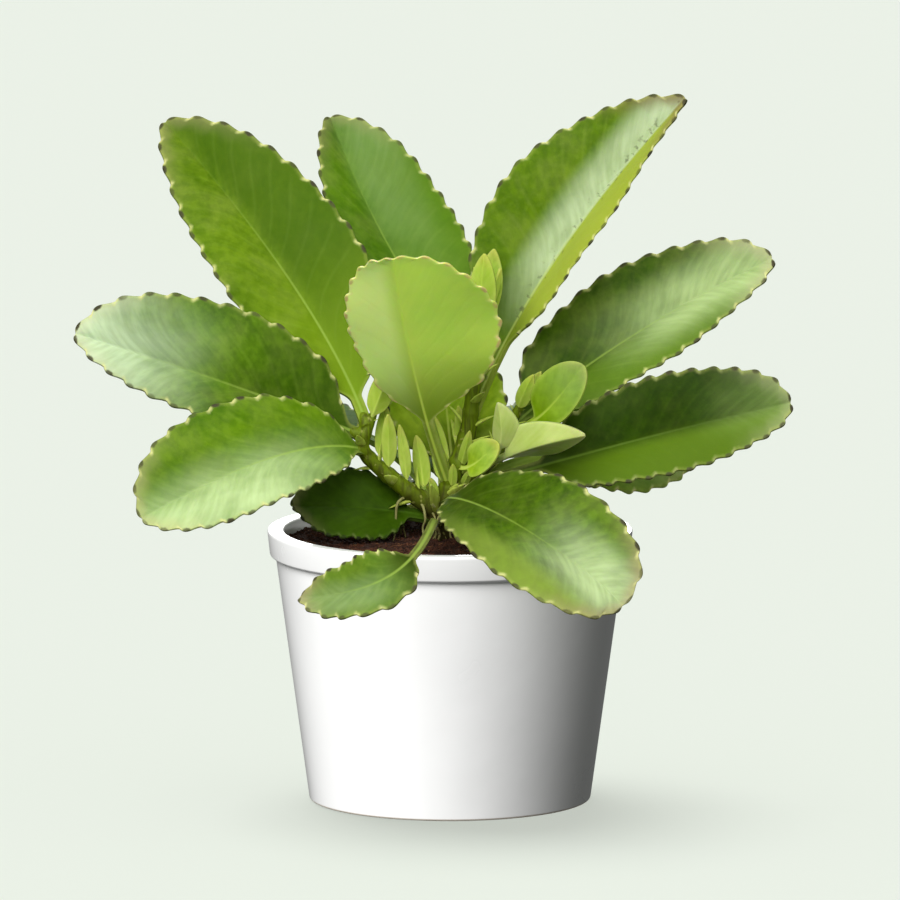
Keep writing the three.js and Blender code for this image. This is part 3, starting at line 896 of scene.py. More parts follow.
@dataclass
class Pot:
    """The tapered pot with its proud rim band, a profile turned about its axis."""

    height: float = 97
    base_radius: float = 50
    body_top_radius: float = 62
    band_height: float = 9.5
    band_lower_radius: float = 64
    band_slope: float = 0.4
    rim_radius: float = 65
    mouth_radius: float = 59
    mouth_level: float = 96
    floor_radius: float = 46
    floor_thickness: float = 7
    foot_round: float = 1.0
    body_top_round: float = 0.5
    band_round: float = 0.7
    rim_round: float = 1.3
    floor_round: float = 3
    segments: int = 192
    round_steps: int = 6

    def wall_radius(self, height: float) -> float:
        """Radius of the inner wall at a height."""
        share = (height - self.floor_thickness) / (self.mouth_level - self.floor_thickness)
        return self.floor_radius + (self.mouth_radius - self.floor_radius) * share

    def corner(self, before: Pair, at: Pair, after: Pair, reach: float) -> list[Pair]:
        """A corner of the profile, rounded.

        Args:
            before: The corner before, as radius and height.
            at: The corner to round.
            after: The corner after.
            reach: How far from the corner the rounding starts.

        Returns:
            The points of a smooth curve in the corner's place.
        """
        here = np.array(at)
        legs = [np.array(end) - here for end in (before, after)]
        start, end = (here + leg / np.linalg.norm(leg) * reach for leg in legs)
        shares = np.linspace(0, 1, self.round_steps)[:, None]
        curve = (1 - shares) ** 2 * start + 2 * shares * (1 - shares) * here + shares ** 2 * end
        return [tuple(place) for place in curve]

    def profile(self) -> list[Pair]:
        """The section from the middle of the base round to the middle of the inner floor.

        Returns:
            Its points, as radius and height.
        """
        band_foot = self.height - self.band_height
        corners = [
            ((0, 0), 0),
            ((self.base_radius, 0), self.foot_round),
            ((self.body_top_radius, band_foot), self.body_top_round),
            ((self.band_lower_radius, band_foot + self.band_slope), self.band_round),
            ((self.rim_radius, self.height), self.rim_round),
            ((self.mouth_radius, self.height), self.rim_round),
            ((self.floor_radius, self.floor_thickness), self.floor_round),
            ((0, self.floor_thickness), 0),
        ]
        places = [corners[0][0]]
        for (before, _), (at, reach), (after, _) in zip(corners, corners[1:], corners[2:]):
            places += self.corner(before, at, after, reach)
        return [*places, corners[-1][0]]

    def lathe(self) -> Growth:
        """The tree that turns a profile about the upright axis.

        Returns:
            The tree.
        """
        tree = Growth("turned_profile")
        segments, steps = tree.named("Int", "Segments", "Profile Points")
        grid = tree.add("GeometryNodeMeshGrid", {
            "Size X": 1.0, "Size Y": 1.0,
            "Vertices X": tree.maths("ADD", segments, 1.0), "Vertices Y": steps,
        }).outputs["Mesh"]
        place = tree.parts()
        turn = tree.times(tree.maths("ADD", place["X"], 0.5), math.tau)
        row = tree.maths("ROUND", tree.times(
            tree.maths("ADD", place["Y"], 0.5), tree.maths("SUBTRACT", steps, 1.0)))
        picked = tree.add("GeometryNodeSampleIndex", {"Geometry": tree.given("Geometry")},
                          data_type="FLOAT_VECTOR")
        tree.feed(picked.inputs["Value"], tree.add("GeometryNodeInputPosition").outputs[0])
        tree.feed(picked.inputs["Index"], row)
        point = tree.parts(picked.outputs[0])
        turned = tree.vector(tree.times(point["X"], tree.maths("COSINE", turn)),
                             tree.times(point["X"], tree.maths("SINE", turn)), point["Z"])
        shaped = tree.moved(grid, Position=turned)
        closed = tree.add("GeometryNodeMergeByDistance", {"Geometry": shaped, "Distance": 1e-6})
        tree.finish(closed.outputs[0])
        return tree

    def build(self) -> None:
        """Makes the pot and hands it over."""
        points = np.array([(radius, 0, height) for radius, height in self.profile()])
        host = lines_in_scene("pot_profile", points, [(i, i + 1) for i in range(len(points) - 1)])
        mesh = self.lathe().grow(host, GlazeFinish().material(), Segments=self.segments,
                                 Profile_Points=len(points))
        hand_over(in_scene("glazed_pot", outward(mesh, 2e-6)), Slot.GLAZE, "pot")


class Strewn(Enum):
    """The kinds of small pieces that lie on the peat."""

    CRUMB = "crumb"
    FIBRE = "fibre"


class Draw(Enum):
    """The fixed seeds of what is drawn for each strewn piece."""

    STRETCH = 3
    SIZE = 5
    TURN = 7
    TILT = 9


@dataclass(frozen=True)
class Strewing:
    """Small pieces of one kind on the peat, their sizes in millimetres."""

    kind: Strewn
    name: str
    finish: PeatFinish
    per_square_metre: float
    smallest: float
    largest: float
    stretch: Pair


@dataclass
class Peat:
    """The peat in the pot, with clods, crumbs and fibres on it."""

    pot: Pot
    edge_level: float = 92.5
    crown: float = 1.2
    clod_height: float = 0.5
    clod_waves: tuple[Pair, Pair] = ((0.31, 0.17), (0.11, 0.23))
    lump_height: float = 0.45
    lump_scale: float = 0.22
    lump_layer: float = 3.0
    lump_noise: tuple[float, float, int] = (0.6, 2.1, 5)
    flattens: float = 9
    least_relief: float = 0.25
    skirt: float = 2
    clearance: float = 0.35
    rings: int = 70
    segments: int = 220
    seed: int = 11
    steepest: float = 0.3
    strewn_above: float = 1.2
    crumb_lumps: float = 1.3
    crumb_shift: Point = (0.5, 0.5, 0.6)
    fibre_curve: tuple[Point, ...] = ((-4, 0, 0), (-1, 2.2, 0.8), (1, -1.4, 0.4), (4, 0.4, 0))
    fibre_radius: float = 0.28
    fibre_tilt: float = 0.25
    strewings: tuple[Strewing, ...] = (
        Strewing(Strewn.CRUMB, "peat_crumbs",
                 PeatFinish("peat_crumb", srgb(30, 16, 11), srgb(104, 62, 42), 1500),
                 420000, 0.25, 1.15, (0.6, 1.2)),
        Strewing(Strewn.FIBRE, "peat_fibres",
                 PeatFinish("peat_fibre", srgb(96, 62, 38), srgb(160, 116, 76), 700),
                 26000, 0.35, 0.75, (0.7, 1.1)),
    )

    def height_at(self, x: np.ndarray, y: np.ndarray, share: np.ndarray) -> np.ndarray:
        """Height of the peat's surface.

        Args:
            x: Places to the right.
            y: Places to the back.
            share: Their distance from the axis, as a share of the pot's wall.

        Returns:
            The heights.
        """
        (ax, ay), (bx, by) = self.clod_waves
        clods = np.sin(ax * x + ay * y) * np.cos(by * y - bx * x + 1)
        lumps = np.array([
            noise.fractal(Vector((a * self.lump_scale, b * self.lump_scale, self.lump_layer)),
                          *self.lump_noise)
            for a, b in zip(x.ravel(), y.ravel())]).reshape(x.shape)
        fade = np.clip((1 - share) * self.flattens, self.least_relief, 1)
        relief = self.clod_height * clods + self.lump_height * lumps
        return self.edge_level + self.crown * (1 - share ** 2) + fade * relief

    def surface(self) -> Mesh:
        """The body of peat, closed underneath where it meets the pot.

        Returns:
            The mesh.
        """
        angles = np.arange(self.segments) / self.segments * math.tau
        across, back = np.cos(angles), np.sin(angles)
        radius = self.pot.wall_radius(self.edge_level) - self.clearance
        rows = []
        for ring in range(1, self.rings + 1):
            share = np.full(self.segments, ring / self.rings)
            x, y = radius * share * across, radius * share * back
            rows.append(np.stack([x, y, self.height_at(x, y, share)], axis=1))
        floor = self.pot.floor_thickness + self.clearance
        for level in (self.edge_level - self.skirt, floor):
            reach = self.pot.wall_radius(level) - self.clearance
            rows.append(np.stack([reach * across, reach * back,
                                  np.full(self.segments, level)], axis=1))
        middle = self.height_at(np.zeros(1), np.zeros(1), np.zeros(1))[0]
        points = np.concatenate([[(0, 0, middle)], *rows, [(0, 0, floor)]])
        count, faces = self.segments, []
        last = 1 + (len(rows) - 1) * count
        for i in range(count):
            following = (i + 1) % count
            faces.append((0, 1 + i, 1 + following))
            for foot in range(1, last, count):
                a, b = foot + i, foot + following
                faces.append((a, a + count, b + count, b))
            faces.append((len(points) - 1, last + following, last + i))
        return outward(mesh_of("peat", points, faces))

    def grain(self, tree: Growth, kind: Strewn) -> NodeSocket:
        """A lumpy crumb of radius 1, or a short curved fibre.

        Args:
            tree: The tree it goes into.
            kind: Which of them.

        Returns:
            Its geometry's socket.
        """
        if kind is Strewn.CRUMB:
            ball = tree.add("GeometryNodeMeshIcoSphere", {"Radius": 1.0, "Subdivisions": 1})
            lumpy = tree.add("ShaderNodeTexNoise", {"Scale": self.crumb_lumps, "Detail": 1.0})
            shift = tree.add("ShaderNodeVectorMath", {
                0: lumpy.outputs["Color"], 1: self.crumb_shift}, operation="SUBTRACT").outputs[0]
            return tree.moved(ball.outputs[0], Offset=shift)
        names = ("Start", "Start Handle", "End Handle", "End")
        thread = tree.add("GeometryNodeCurvePrimitiveBezierSegment", {
            "Resolution": 4, **dict(zip(names, self.fibre_curve))}).outputs[0]
        ring = tree.add("GeometryNodeCurvePrimitiveCircle", {
            "Resolution": 4, "Radius": self.fibre_radius}).outputs[0]
        return tree.add("GeometryNodeCurveToMesh", {
            "Curve": thread, "Profile Curve": ring, "Fill Caps": True}).outputs[0]

    def scatter(self, strewing: Strewing) -> Growth:
        """The tree that strews small pieces over the peat's upper side.

        Args:
            strewing: What is strewn.

        Returns:
            The tree.
        """
        tree = Growth(f"strewn_{strewing.kind.value}")
        density, smallest, largest, level = tree.named(
            "Float", "Density", "Smallest", "Largest", "Lowest Level")
        seed, = tree.named("Int", "Seed")
        normal = tree.parts(tree.add("GeometryNodeInputNormal").outputs[0])
        upward = tree.times(tree.maths("GREATER_THAN", normal["Z"], self.steepest),
                            tree.maths("GREATER_THAN", tree.parts()["Z"], level))
        points = tree.add("GeometryNodeDistributePointsOnFaces", {
            "Mesh": tree.given("Geometry"),
            "Selection": upward, "Density": density, "Seed": seed,
        }).outputs["Points"]
        stretch = tree.random_vector(strewing.stretch, Draw.STRETCH.value)
        size = tree.random((0.0, 1.0), Draw.SIZE.value)
        scale = tree.maths("MULTIPLY_ADD", tree.times(size, size),
                           tree.maths("SUBTRACT", largest, smallest), smallest)
        scaled = tree.add("ShaderNodeVectorMath", {0: stretch, "Scale": scale}, operation="SCALE")
        spin = tree.random_vector((-math.pi, math.pi), Draw.TURN.value)
        if strewing.kind is Strewn.FIBRE:
            tilt = tree.random((-self.fibre_tilt, self.fibre_tilt), Draw.TILT.value)
            spin = tree.vector(tilt, tilt, tree.parts(spin)["Z"])
        strewn = tree.add("GeometryNodeInstanceOnPoints", {
            "Points": points, "Instance": self.grain(tree, strewing.kind),
            "Scale": scaled.outputs[0],
            "Rotation": tree.add("FunctionNodeEulerToRotation", {0: spin}).outputs[0],
        })
        tree.finish(strewn.outputs[0])
        return tree

    def build(self) -> None:
        """Makes the peat, its crumbs and its fibres, and hands them over."""
        body = in_scene("peat_bed", self.surface())
        dress(body, PeatFinish().material())
        hand_over(body, Slot.PEAT, "soil")
        for strewing in self.strewings:
            host = in_scene("strewing_host", body.data.copy())
            mesh = self.scatter(strewing).grow(
                host, strewing.finish.material(), Density=strewing.per_square_metre,
                Smallest=strewing.smallest * MM, Largest=strewing.largest * MM,
                Lowest_Level=(self.edge_level - self.strewn_above) * MM, Seed=self.seed)
            hand_over(in_scene(strewing.name, mesh), Slot.PEAT, "soil")


# ---- Leaves ----


@dataclass(frozen=True)
class BladeRule:
    """What all leaves share: the thicknesses, scallops, ripples and veins of a blade."""

    rib_thickness: float = 1.1
    stalk_thickness: float = 2.8
    margin_thickness: float = 0.85
    stalk_margin: float = 1.6
    margin_thins_over: float = 0.25
    stalk_half_width: float = 2.2
    least_half_width: float = 0.3
    keel_share: float = 0.65
    keel_bulge: float = 0.8
    keel_width: float = 2.4
    keel_slope: float = 0.2
    groove_depth: float = 0.3
    groove_width: float = 0.8
    groove_over: float = 6
    edge_round: float = 0.3
    edge_round_share: float = 0.25
    edge_softness: float = 0.55
    scallop_depth: float = 1.4
    scallop_lean: float = 1.9
    scallop_height: float = 0.9
    scallop_inset: float = 0.68
    scallops_grow_over: float = 0.2
    ripple: float = 0.8
    ripple_grows_over: float = 0.33
    ripple_reach: float = 1.5
    ripples_per_margin: float = 2.5
    ripple_phases: Pair = (0.0, 2.0)
    foot_share: float = 0.16
    sturdy_width: float = 30
    tip_share: float = 0.99
    samples: int = 600
    fewest_rows: int = 30
    rib_softness: float = 2.6
    arch: float = 0.045
    arch_over: float = 4
    vein_spacing: float = 9.5
    vein_lean: float = 1.5
    vein_bend: float = 0.022
    vein_stagger: float = 0.3
    vein_drift: float = 0.3
    drift_waves: Point = (13, 9, 2.0)
    vein_depth: float = 0.03
    vein_sharpness: int = 3
    veined_width: float = 40
    between_teeth: float = 0.3
    first_tooth: float = 0.9
    columns: tuple[float, ...] = (
        0, 0.03, 0.07, 0.13, 0.21, 0.31, 0.42, 0.53, 0.64, 0.74, 0.83, 0.9, 0.95, 0.98, 1)


RULE = BladeRule()


def bezier(points: np.ndarray, steps: np.ndarray) -> np.ndarray:
    """Points of a Bezier curve.

    Args:
        points: Its control points.
        steps: The curve's parameter, from 0 to 1.

    Returns:
        A point for each step.
    """
    order = len(points) - 1
    steps = np.asarray(steps)[..., None]
    return sum(math.comb(order, k) * steps ** k * (1 - steps) ** (order - k) * points[k]
               for k in range(order + 1))


def run_of(line: np.ndarray) -> np.ndarray:
    """The length passed along a line, at each of its points."""
    return np.concatenate([[0], np.cumsum(np.linalg.norm(np.diff(line, axis=0), axis=1))])


class Rib:
    """A leaf's middle line: a Bezier curve read at even lengths."""

    def __init__(self, points: Sequence[Point], divisions: int = 400) -> None:
        """Measures the curve.

        Args:
            points: Its control points.
            divisions: How many pieces it is measured in.
        """
        self.points = np.array(points, float)
        self.steps = np.linspace(0, 1, divisions + 1)
        self.runs = run_of(self.at(self.steps))
        self.length = float(self.runs[-1])

    def at(self, steps: np.ndarray) -> np.ndarray:
        """Points of the curve at its own parameter."""
        return bezier(self.points, steps)

    def ahead(self, steps: np.ndarray) -> np.ndarray:
        """Unit tangents at the curve's own parameter."""
        slope = bezier(np.diff(self.points, axis=0), steps)
        return slope / np.linalg.norm(slope, axis=-1, keepdims=True)

    def step_at(self, along: np.ndarray) -> np.ndarray:
        """The curve's parameter at lengths along it."""
        return np.interp(np.clip(along, 0, self.length), self.runs, self.steps)


def ringed(upper: np.ndarray, right: np.ndarray, left: np.ndarray,
           lower: np.ndarray | None = None) -> np.ndarray:
    """Joins what a blade has on its sides and edges into a ring for each row.

    Args:
        upper: Values on the upper side, from the left margin to the right.
        right: Values on the right edge.
        left: Values on the left edge.
        lower: Values on the lower side, where they aren't those of the upper.

    Returns:
        The rings, which go on along the lower side and end at the left edge.
    """
    lower = upper if lower is None else lower
    return np.concatenate([upper, right[:, None], lower[:, ::-1], left[:, None]], axis=1)


@dataclass
class Leaf:
    """One leaf: a stalk that widens into a folded, rippled blade with a scalloped margin."""

    name: str
    rib: tuple[Point, ...]
    face: Point
    width: float
    stalk: float
    fold: float
    widest: float
    narrowing: float
    lean: float
    scallops: int
    finish: LeafFinish
    slot: Slot = Slot.LEAF_GREEN
    rows_per_scallop: int = 12
    stalk_rows: int = 12
    rule: BladeRule = RULE

    def __post_init__(self) -> None:
        """Measures the rib."""
        self.line = Rib(self.rib)
        self.sturdiness = min(1.0, self.width / self.rule.sturdy_width)

    def margin(self, side: int, shares: np.ndarray) -> dict[str, np.ndarray]:
        """The smooth margin of one half.

        Args:
            side: 1 for the left half, -1 for the right.
            shares: Shares of the margin's length.

        Returns:
            Places along and across the rib, and the direction out of the blade.
        """
        u = 1 - (1 - np.linspace(0, 1, self.rule.samples + 1)) ** 2
        rise = (u / self.widest) ** (self.narrowing * self.widest)
        fall = ((1 - u) / (1 - self.widest)) ** (self.narrowing * (1 - self.widest))
        foot = 1 - np.maximum(0, 1 - u / self.rule.foot_share) ** 2
        along = self.line.length * (self.stalk + (1 - self.stalk) * u)
        across = self.width / 2 * (1 + side * self.lean) * (rise * fall * foot)
        across = across + self.rule.stalk_half_width * self.sturdiness * (1 - u)
        run = np.concatenate([[0], np.cumsum(np.hypot(np.diff(along), np.diff(across)))])
        slope_along, slope_across = np.gradient(along, run), np.gradient(across, run)
        size = np.hypot(slope_along, slope_across)
        read = {"u": u, "along": along, "across": across,
                "out_along": -slope_across / size, "out_across": slope_along / size}
        return {key: np.interp(run[-1] * shares, run, values) for key, values in read.items()}

    def surface(self, along: np.ndarray, across: np.ndarray, lift: np.ndarray) -> np.ndarray:
        """Points of the blade.

        Args:
            along: Lengths along the rib.
            across: Distances to the left of the rib, less than 0 to the right.
            lift: Heights over the folded middle surface.

        Returns:
            The points, in millimetres.
        """
        step = self.line.step_at(along)
        ahead = self.line.ahead(step)
        face = np.array(self.face)
        up = face - ahead * (ahead @ face)[..., None]
        up /= np.linalg.norm(up, axis=-1, keepdims=True)
        leftwards = np.cross(up, ahead)
        fold = math.radians(self.fold)
        reach = np.abs(across)
        rise = reach * math.sin(fold) * (1 - np.exp(-reach / self.rule.rib_softness))
        over = np.maximum(0, along - self.line.length)[..., None]
        return (self.line.at(step) + ahead * over + leftwards * (across * math.cos(fold))[..., None]
                + up * (rise + lift)[..., None])

    def scalloped(self, shares: np.ndarray) -> tuple[Any, Any, np.ndarray]:
        """The scallops and ripples along the margin.

        Args:
            shares: Shares of the margin's length.

        Returns:
            How far the scallops stand out of the smooth margin, the ripples' height, and the
            scallops passed, held between two teeth where there are none.
        """
        rule = self.rule
        between = np.full_like(shares, rule.between_teeth)
        if not self.scallops:
            return 0.0, 0.0, between
        passed = shares * self.scallops
        wave = np.sin(math.pi * (passed % 1.0) ** rule.scallop_lean)
        growth = np.minimum(1, shares / rule.scallops_grow_over)
        depth = rule.scallop_depth * (rule.scallop_height * wave - rule.scallop_inset) * growth
        swell = rule.ripple * np.minimum(1, shares / rule.ripple_grows_over)
        return depth, swell, np.where(shares < rule.first_tooth / self.scallops, between, passed)

    def rows(self) -> dict[str, np.ndarray]:
        """The rows of the stalk and the blade.

        Returns:
            For each row, places along the rib for the rib and both margins, the margins' reaches
            from the rib with and without scallops, their lifts, the thicknesses and the scallops.
        """
        rule, length = self.rule, self.line.length
        count = max(rule.fewest_rows, self.scallops * self.rows_per_scallop)
        shares = np.append(np.arange(count) / count, rule.tip_share)
        shares = np.unique(np.minimum(shares, rule.tip_share))
        depth, swell, scallop = self.scalloped(shares)
        turn = math.tau * rule.ripples_per_margin * shares
        halves = {"left": self.margin(1, shares), "right": self.margin(-1, shares)}
        u = (halves["left"]["u"] + halves["right"]["u"]) / 2
        thin = np.minimum(1, shares / rule.margin_thins_over)
        blade = {
            "rib": length * (self.stalk + (1 - self.stalk) * (u + shares) / 2),
            "rib_thickness": self.between(rule.stalk_thickness, rule.rib_thickness,
                                          np.sqrt(shares)),
            "margin_thickness": self.between(rule.stalk_margin, rule.margin_thickness, thin),
            "scallop": scallop,
        }
        steps = np.arange(self.stalk_rows) / self.stalk_rows * self.stalk * length
        level = np.ones_like(steps)
        reach = level * rule.stalk_half_width * self.sturdiness
        stalk = {
            "rib": steps,
            "rib_thickness": level * rule.stalk_thickness * self.sturdiness,
            "margin_thickness": level * rule.stalk_margin * self.sturdiness,
            "scallop": level * rule.between_teeth,
        }
        for (side, half), phase in zip(halves.items(), rule.ripple_phases):
            across = half["across"] + depth * half["out_across"]
            blade |= {
                side: half["along"] + depth * half["out_along"],
                f"{side}_reach": np.maximum(rule.least_half_width, across),
                f"{side}_lift": swell * np.sin(turn + phase),
                f"{side}_smooth": half["across"],
            }
            stalk |= {side: steps, f"{side}_reach": reach, f"{side}_lift": level * 0,
                      f"{side}_smooth": reach}
        return {key: np.concatenate([stalk[key], blade[key]]) for key in blade}

    def between(self, at_stalk: float, at_tip: float, share: np.ndarray) -> np.ndarray:
        """A thickness that goes from the stalk's to the tip's."""
        foot = at_stalk * self.sturdiness
        return foot + (at_tip - foot) * share

    def veins(self, along: np.ndarray, distance: np.ndarray, left: np.ndarray) -> np.ndarray:
        """Veins passed so far, which lean away from the rib and wander.

        Args:
            along: Lengths along the rib.
            distance: Distances from the rib.
            left: Where the left half is.

        Returns:
            The counts, whole on a vein's middle line.
        """
        rule = self.rule
        bend = distance * rule.vein_lean - distance ** 2 * rule.vein_bend
        along_wave, across_wave, half_shift = rule.drift_waves
        drift = rule.vein_drift * np.sin(
            along / along_wave + distance / across_wave + half_shift * left + self.width)
        return (along - bend) / rule.vein_spacing + rule.vein_stagger * left + drift

    def thicknesses(self, rows: dict[str, np.ndarray], distance: np.ndarray, t: np.ndarray,
                    u: np.ndarray) -> tuple[np.ndarray, np.ndarray]:
        """How far the upper and the lower skin stand off the middle surface.

        Args:
            rows: The rows.
            distance: Distances from the rib.
            t: The same, as shares of the reach.
            u: Places from the blade's foot at 0 to its tip at 1.

        Returns:
            The upper skin's and the lower skin's distance, before the edges are softened.
        """
        rule = self.rule
        half = rows["margin_thickness"][:, None] / 2
        rib = rows["rib_thickness"][:, None]
        keel = (rule.keel_bulge * np.exp(-(distance / (rule.keel_width * self.sturdiness)) ** 2)
                + rule.keel_slope * (1 - t))
        groove = (rule.groove_depth * self.sturdiness * np.exp(-(distance / rule.groove_width) ** 2)
                  * np.clip(u * rule.groove_over, 0, 1))
        return (half + (rib * (1 - rule.keel_share) - half) * keel - groove,
                half + (rib * rule.keel_share - half) * keel)

    def mesh(self) -> Mesh:
        """The leaf's closed mesh, with what its finish reads kept at each point.

        Returns:
            The mesh.
        """
        rule, rows = self.rule, self.rows()
        columns = np.array(rule.columns)
        side = np.concatenate([columns[::-1], -columns[1:]])
        t = np.abs(side)[None, :]
        left = (side > 0)[None, :]

        def pick(what: str) -> np.ndarray:
            """A row's value for the half that each column lies in."""
            return np.where(left, rows[f"left{what}"][:, None], rows[f"right{what}"][:, None])

        reach, smooth, rib = pick("_reach"), pick("_smooth"), rows["rib"][:, None]
        along = rib + (pick("") - rib) * t
        soft_edge = np.minimum(rule.edge_round, reach * rule.edge_round_share) * (t == 1)
        distance = reach * t - soft_edge
        across = distance * np.sign(side)[None, :]
        u = (along / self.line.length - self.stalk) / (1 - self.stalk)
        vein = self.veins(along, distance, left)
        ridges = np.abs(2 * (vein - np.floor(vein)) - 1) ** rule.vein_sharpness
        evenly = np.clip(distance / smooth, 0, 1)
        fade = np.sin(math.pi * evenly) * np.clip(u * rule.arch_over, 0, 1)
        veined = rule.vein_depth * min(1.0, self.width / rule.veined_width)
        middle = (pick("_lift") * evenly ** rule.ripple_reach
                  + rule.arch * smooth * fade - veined * ridges * fade)
        over, under = self.thicknesses(rows, distance, t, u)
        soften = np.where(t == 1, rule.edge_softness, 1.0)
        edges = [self.surface(rows[name], sign * rows[f"{name}_reach"], rows[f"{name}_lift"])
                 for name, sign in (("right", -1), ("left", 1))]
        mesh = self.skin(ringed(self.surface(along, across, middle + over * soften), *edges,
                                self.surface(along, across, middle - under * soften)))
        left_reach, right_reach, scallop = rows["left_reach"], rows["right_reach"], rows["scallop"]
        zero, level = np.zeros(len(along)), np.ones_like(along)
        facts = {
            "across": ringed(distance, right_reach, left_reach),
            "edge": ringed(reach * (1 - t), zero, zero),
            "along": ringed(u, u[:, -1], u[:, 0]),
            "scallop": ringed(scallop[:, None] * level, scallop, scallop),
            "upper": ringed(level, zero + 0.5, zero + 0.5, level * 0),
            "vein": ringed(vein, vein[:, -1], vein[:, 0]),
        }
        for key, values in facts.items():
            mesh.attributes.new(key, "FLOAT", "POINT").data.foreach_set("value", values.ravel())
        flat = np.stack([ringed(along, rows["right"], rows["left"]).ravel(),
                         ringed(across, -right_reach, left_reach).ravel()], axis=1) / UV_UNIT
        corners = np.empty(len(mesh.loops), dtype=np.int32)
        mesh.loops.foreach_get("vertex_index", corners)
        mesh.uv_layers.new(name="blade").uv.foreach_set("vector", flat[corners].ravel())
        return mesh

    def skin(self, ring: np.ndarray) -> Mesh:
        """A closed skin, capped at both ends.

        Args:
            ring: A ring of points for each row.

        Returns:
            The mesh.
        """
        rows, count = ring.shape[:2]
        faces = []
        for row in range(rows - 1):
            for i in range(count):
                a, b = row * count + i, row * count + (i + 1) % count
                faces.append((a, b, b + count, a + count))
        half = count // 2
        for foot, turned in ((0, True), ((rows - 1) * count, False)):
            caps = [(i, i + 1, count - 3 - i, count - 2 - i) for i in range(half - 2)]
            caps += [(half - 2, half - 1, half), (count - 1, 0, count - 2)]
            for cap in caps:
                face = [foot + corner for corner in cap]
                faces.append(face[::-1] if turned else face)
        return outward(mesh_of(self.name, ring.reshape(-1, 3), faces), 0)

    def build(self, name: str, *nodes: str) -> None:
        """Makes the leaf and hands it over.

        Args:
            name: The piece's name.
            nodes: The solids that it stands for.
        """
        thing = in_scene(name, self.mesh())
        dress(thing, self.finish.material())
        hand_over(thing, self.slot, *nodes)


# ---- The leaves of the plant ----

GREEN = LeafFinish("green_leaf")
TALL = LeafFinish(
    "tall_leaf", deep=srgb(70, 102, 2), fresh=srgb(104, 134, 20), wax_sheen_share=0.0, turned=0.75,
    right_half_painted_light=srgb(60, 92, 0), foot=srgb(122, 152, 22), foot_shading=0.7, gloss=0.46)
COOL = LeafFinish(
    "cool_leaf", deep=srgb(60, 98, 4), fresh=srgb(86, 124, 14), wax_sheen_share=0.22, bloom_side=-9,
    bloom_width=15, turned=0.65, right_half_painted_light=srgb(80, 116, 8))
FOLDED = LeafFinish(
    "folded_leaf", deep=srgb(62, 94, 0), fresh=srgb(92, 124, 4), wax_sheen_share=0.92, bloom_side=1.5,
    bloom_width=12.5, bloom_from=0.0, bloom_to=0.35, bloom_stops=True, foot=srgb(90, 122, 10),
    foot_shading=0.5, foot_ends=0.2, wax_sheen_colour=srgb(196, 212, 170), turned=0.85, turned_at=-0.3,
    turned_over=2.0, right_half_painted_light=srgb(162, 176, 60), rib=srgb(176, 192, 96),
    blush=srgb(122, 108, 66), tinged=0.9, freckled=0.55)
DUSKY = LeafFinish(
    "dusky_leaf", deep=srgb(38, 66, 0), fresh=srgb(68, 98, 6), wax_sheen_share=0.8, bloom_side=0,
    bloom_width=18, bloom_from=0.25, bloom_to=0.7, tinged=0.5, wax_sheen_colour=srgb(184, 206, 142),
    blush=srgb(180, 176, 136), turned=0.6, right_half_painted_light=srgb(98, 130, 34))
SOMBRE = LeafFinish(
    "sombre_leaf", deep=srgb(26, 48, 0), fresh=srgb(42, 68, 0), wax_sheen_share=0.55, bloom_side=2,
    bloom_width=15, bloom_from=0.55, bloom_to=1.05, tinged=0.4, foot=srgb(48, 68, 6), foot_shading=0.6,
    foot_ends=0.3, turned=0.75, right_half_painted_light=srgb(90, 120, 14), rib=srgb(96, 124, 36),
    blush=srgb(172, 176, 130), wax_sheen_colour=srgb(150, 178, 100), sallow=0.03,
    pale_notch=srgb(150, 158, 96))
FROSTED = LeafFinish(
    "frosted_leaf", deep=srgb(50, 84, 0), fresh=srgb(92, 128, 18), wax_sheen_share=0.95, bloom_side=3,
    bloom_width=34, bloom_from=0.42, bloom_to=0.95, tinged=0.5, foot=srgb(40, 64, 0), foot_shading=0.6,
    wax_sheen_colour=srgb(206, 226, 184), blush=srgb(196, 198, 162))
SILVER = LeafFinish(
    "silver_leaf", deep=srgb(60, 98, 0), fresh=srgb(96, 132, 12), wax_sheen_share=0.97, bloom_side=11.5,
    bloom_width=24, bloom_from=0.0, bloom_to=0.6, tinged=0.5, wax_sheen_colour=srgb(184, 206, 146),
    blush=srgb(184, 182, 124))
DROOPING = LeafFinish(
    "drooping_leaf", deep=srgb(34, 60, 0), fresh=srgb(84, 118, 10), wax_sheen_share=0.95, bloom_side=0.5,
    bloom_width=18, bloom_from=0.5, bloom_to=0.9, tinged=0.6, foot=srgb(38, 58, 0), foot_shading=0.8,
    foot_ends=0.8, wax_sheen_colour=srgb(188, 208, 152), turned=0.5, turned_at=-11, turned_over=8,
    right_half_painted_light=srgb(146, 168, 70))
HANGING = LeafFinish(
    "hanging_leaf", deep=srgb(72, 104, 18), fresh=srgb(100, 130, 34), wax_sheen_share=0.4,
    foot=srgb(40, 56, 4), foot_shading=0.95, foot_ends=0.3, bloom_side=3, bloom_width=10, bloom_from=0.1,
    bloom_to=0.5, tinged=0.7)
# A darker copy of the green skin, painted shade for the leaf that lies under the leaves above it.
SHADED_COPY = LeafFinish(
    "shaded_leaf", deep=srgb(38, 62, 0), fresh=srgb(56, 86, 4), wax_sheen_share=0.0, rib=srgb(66, 96, 20),
    margin=srgb(84, 100, 44), pale_notch=srgb(96, 112, 56), tooth=srgb(34, 40, 20))
INNER = LeafFinish(
    "inner_leaf_skin", deep=srgb(112, 146, 6), fresh=srgb(166, 196, 40), wax_sheen_share=0.0,
    rib=srgb(200, 214, 100), foot=srgb(60, 76, 4), foot_shading=0.8, glow=0.2)
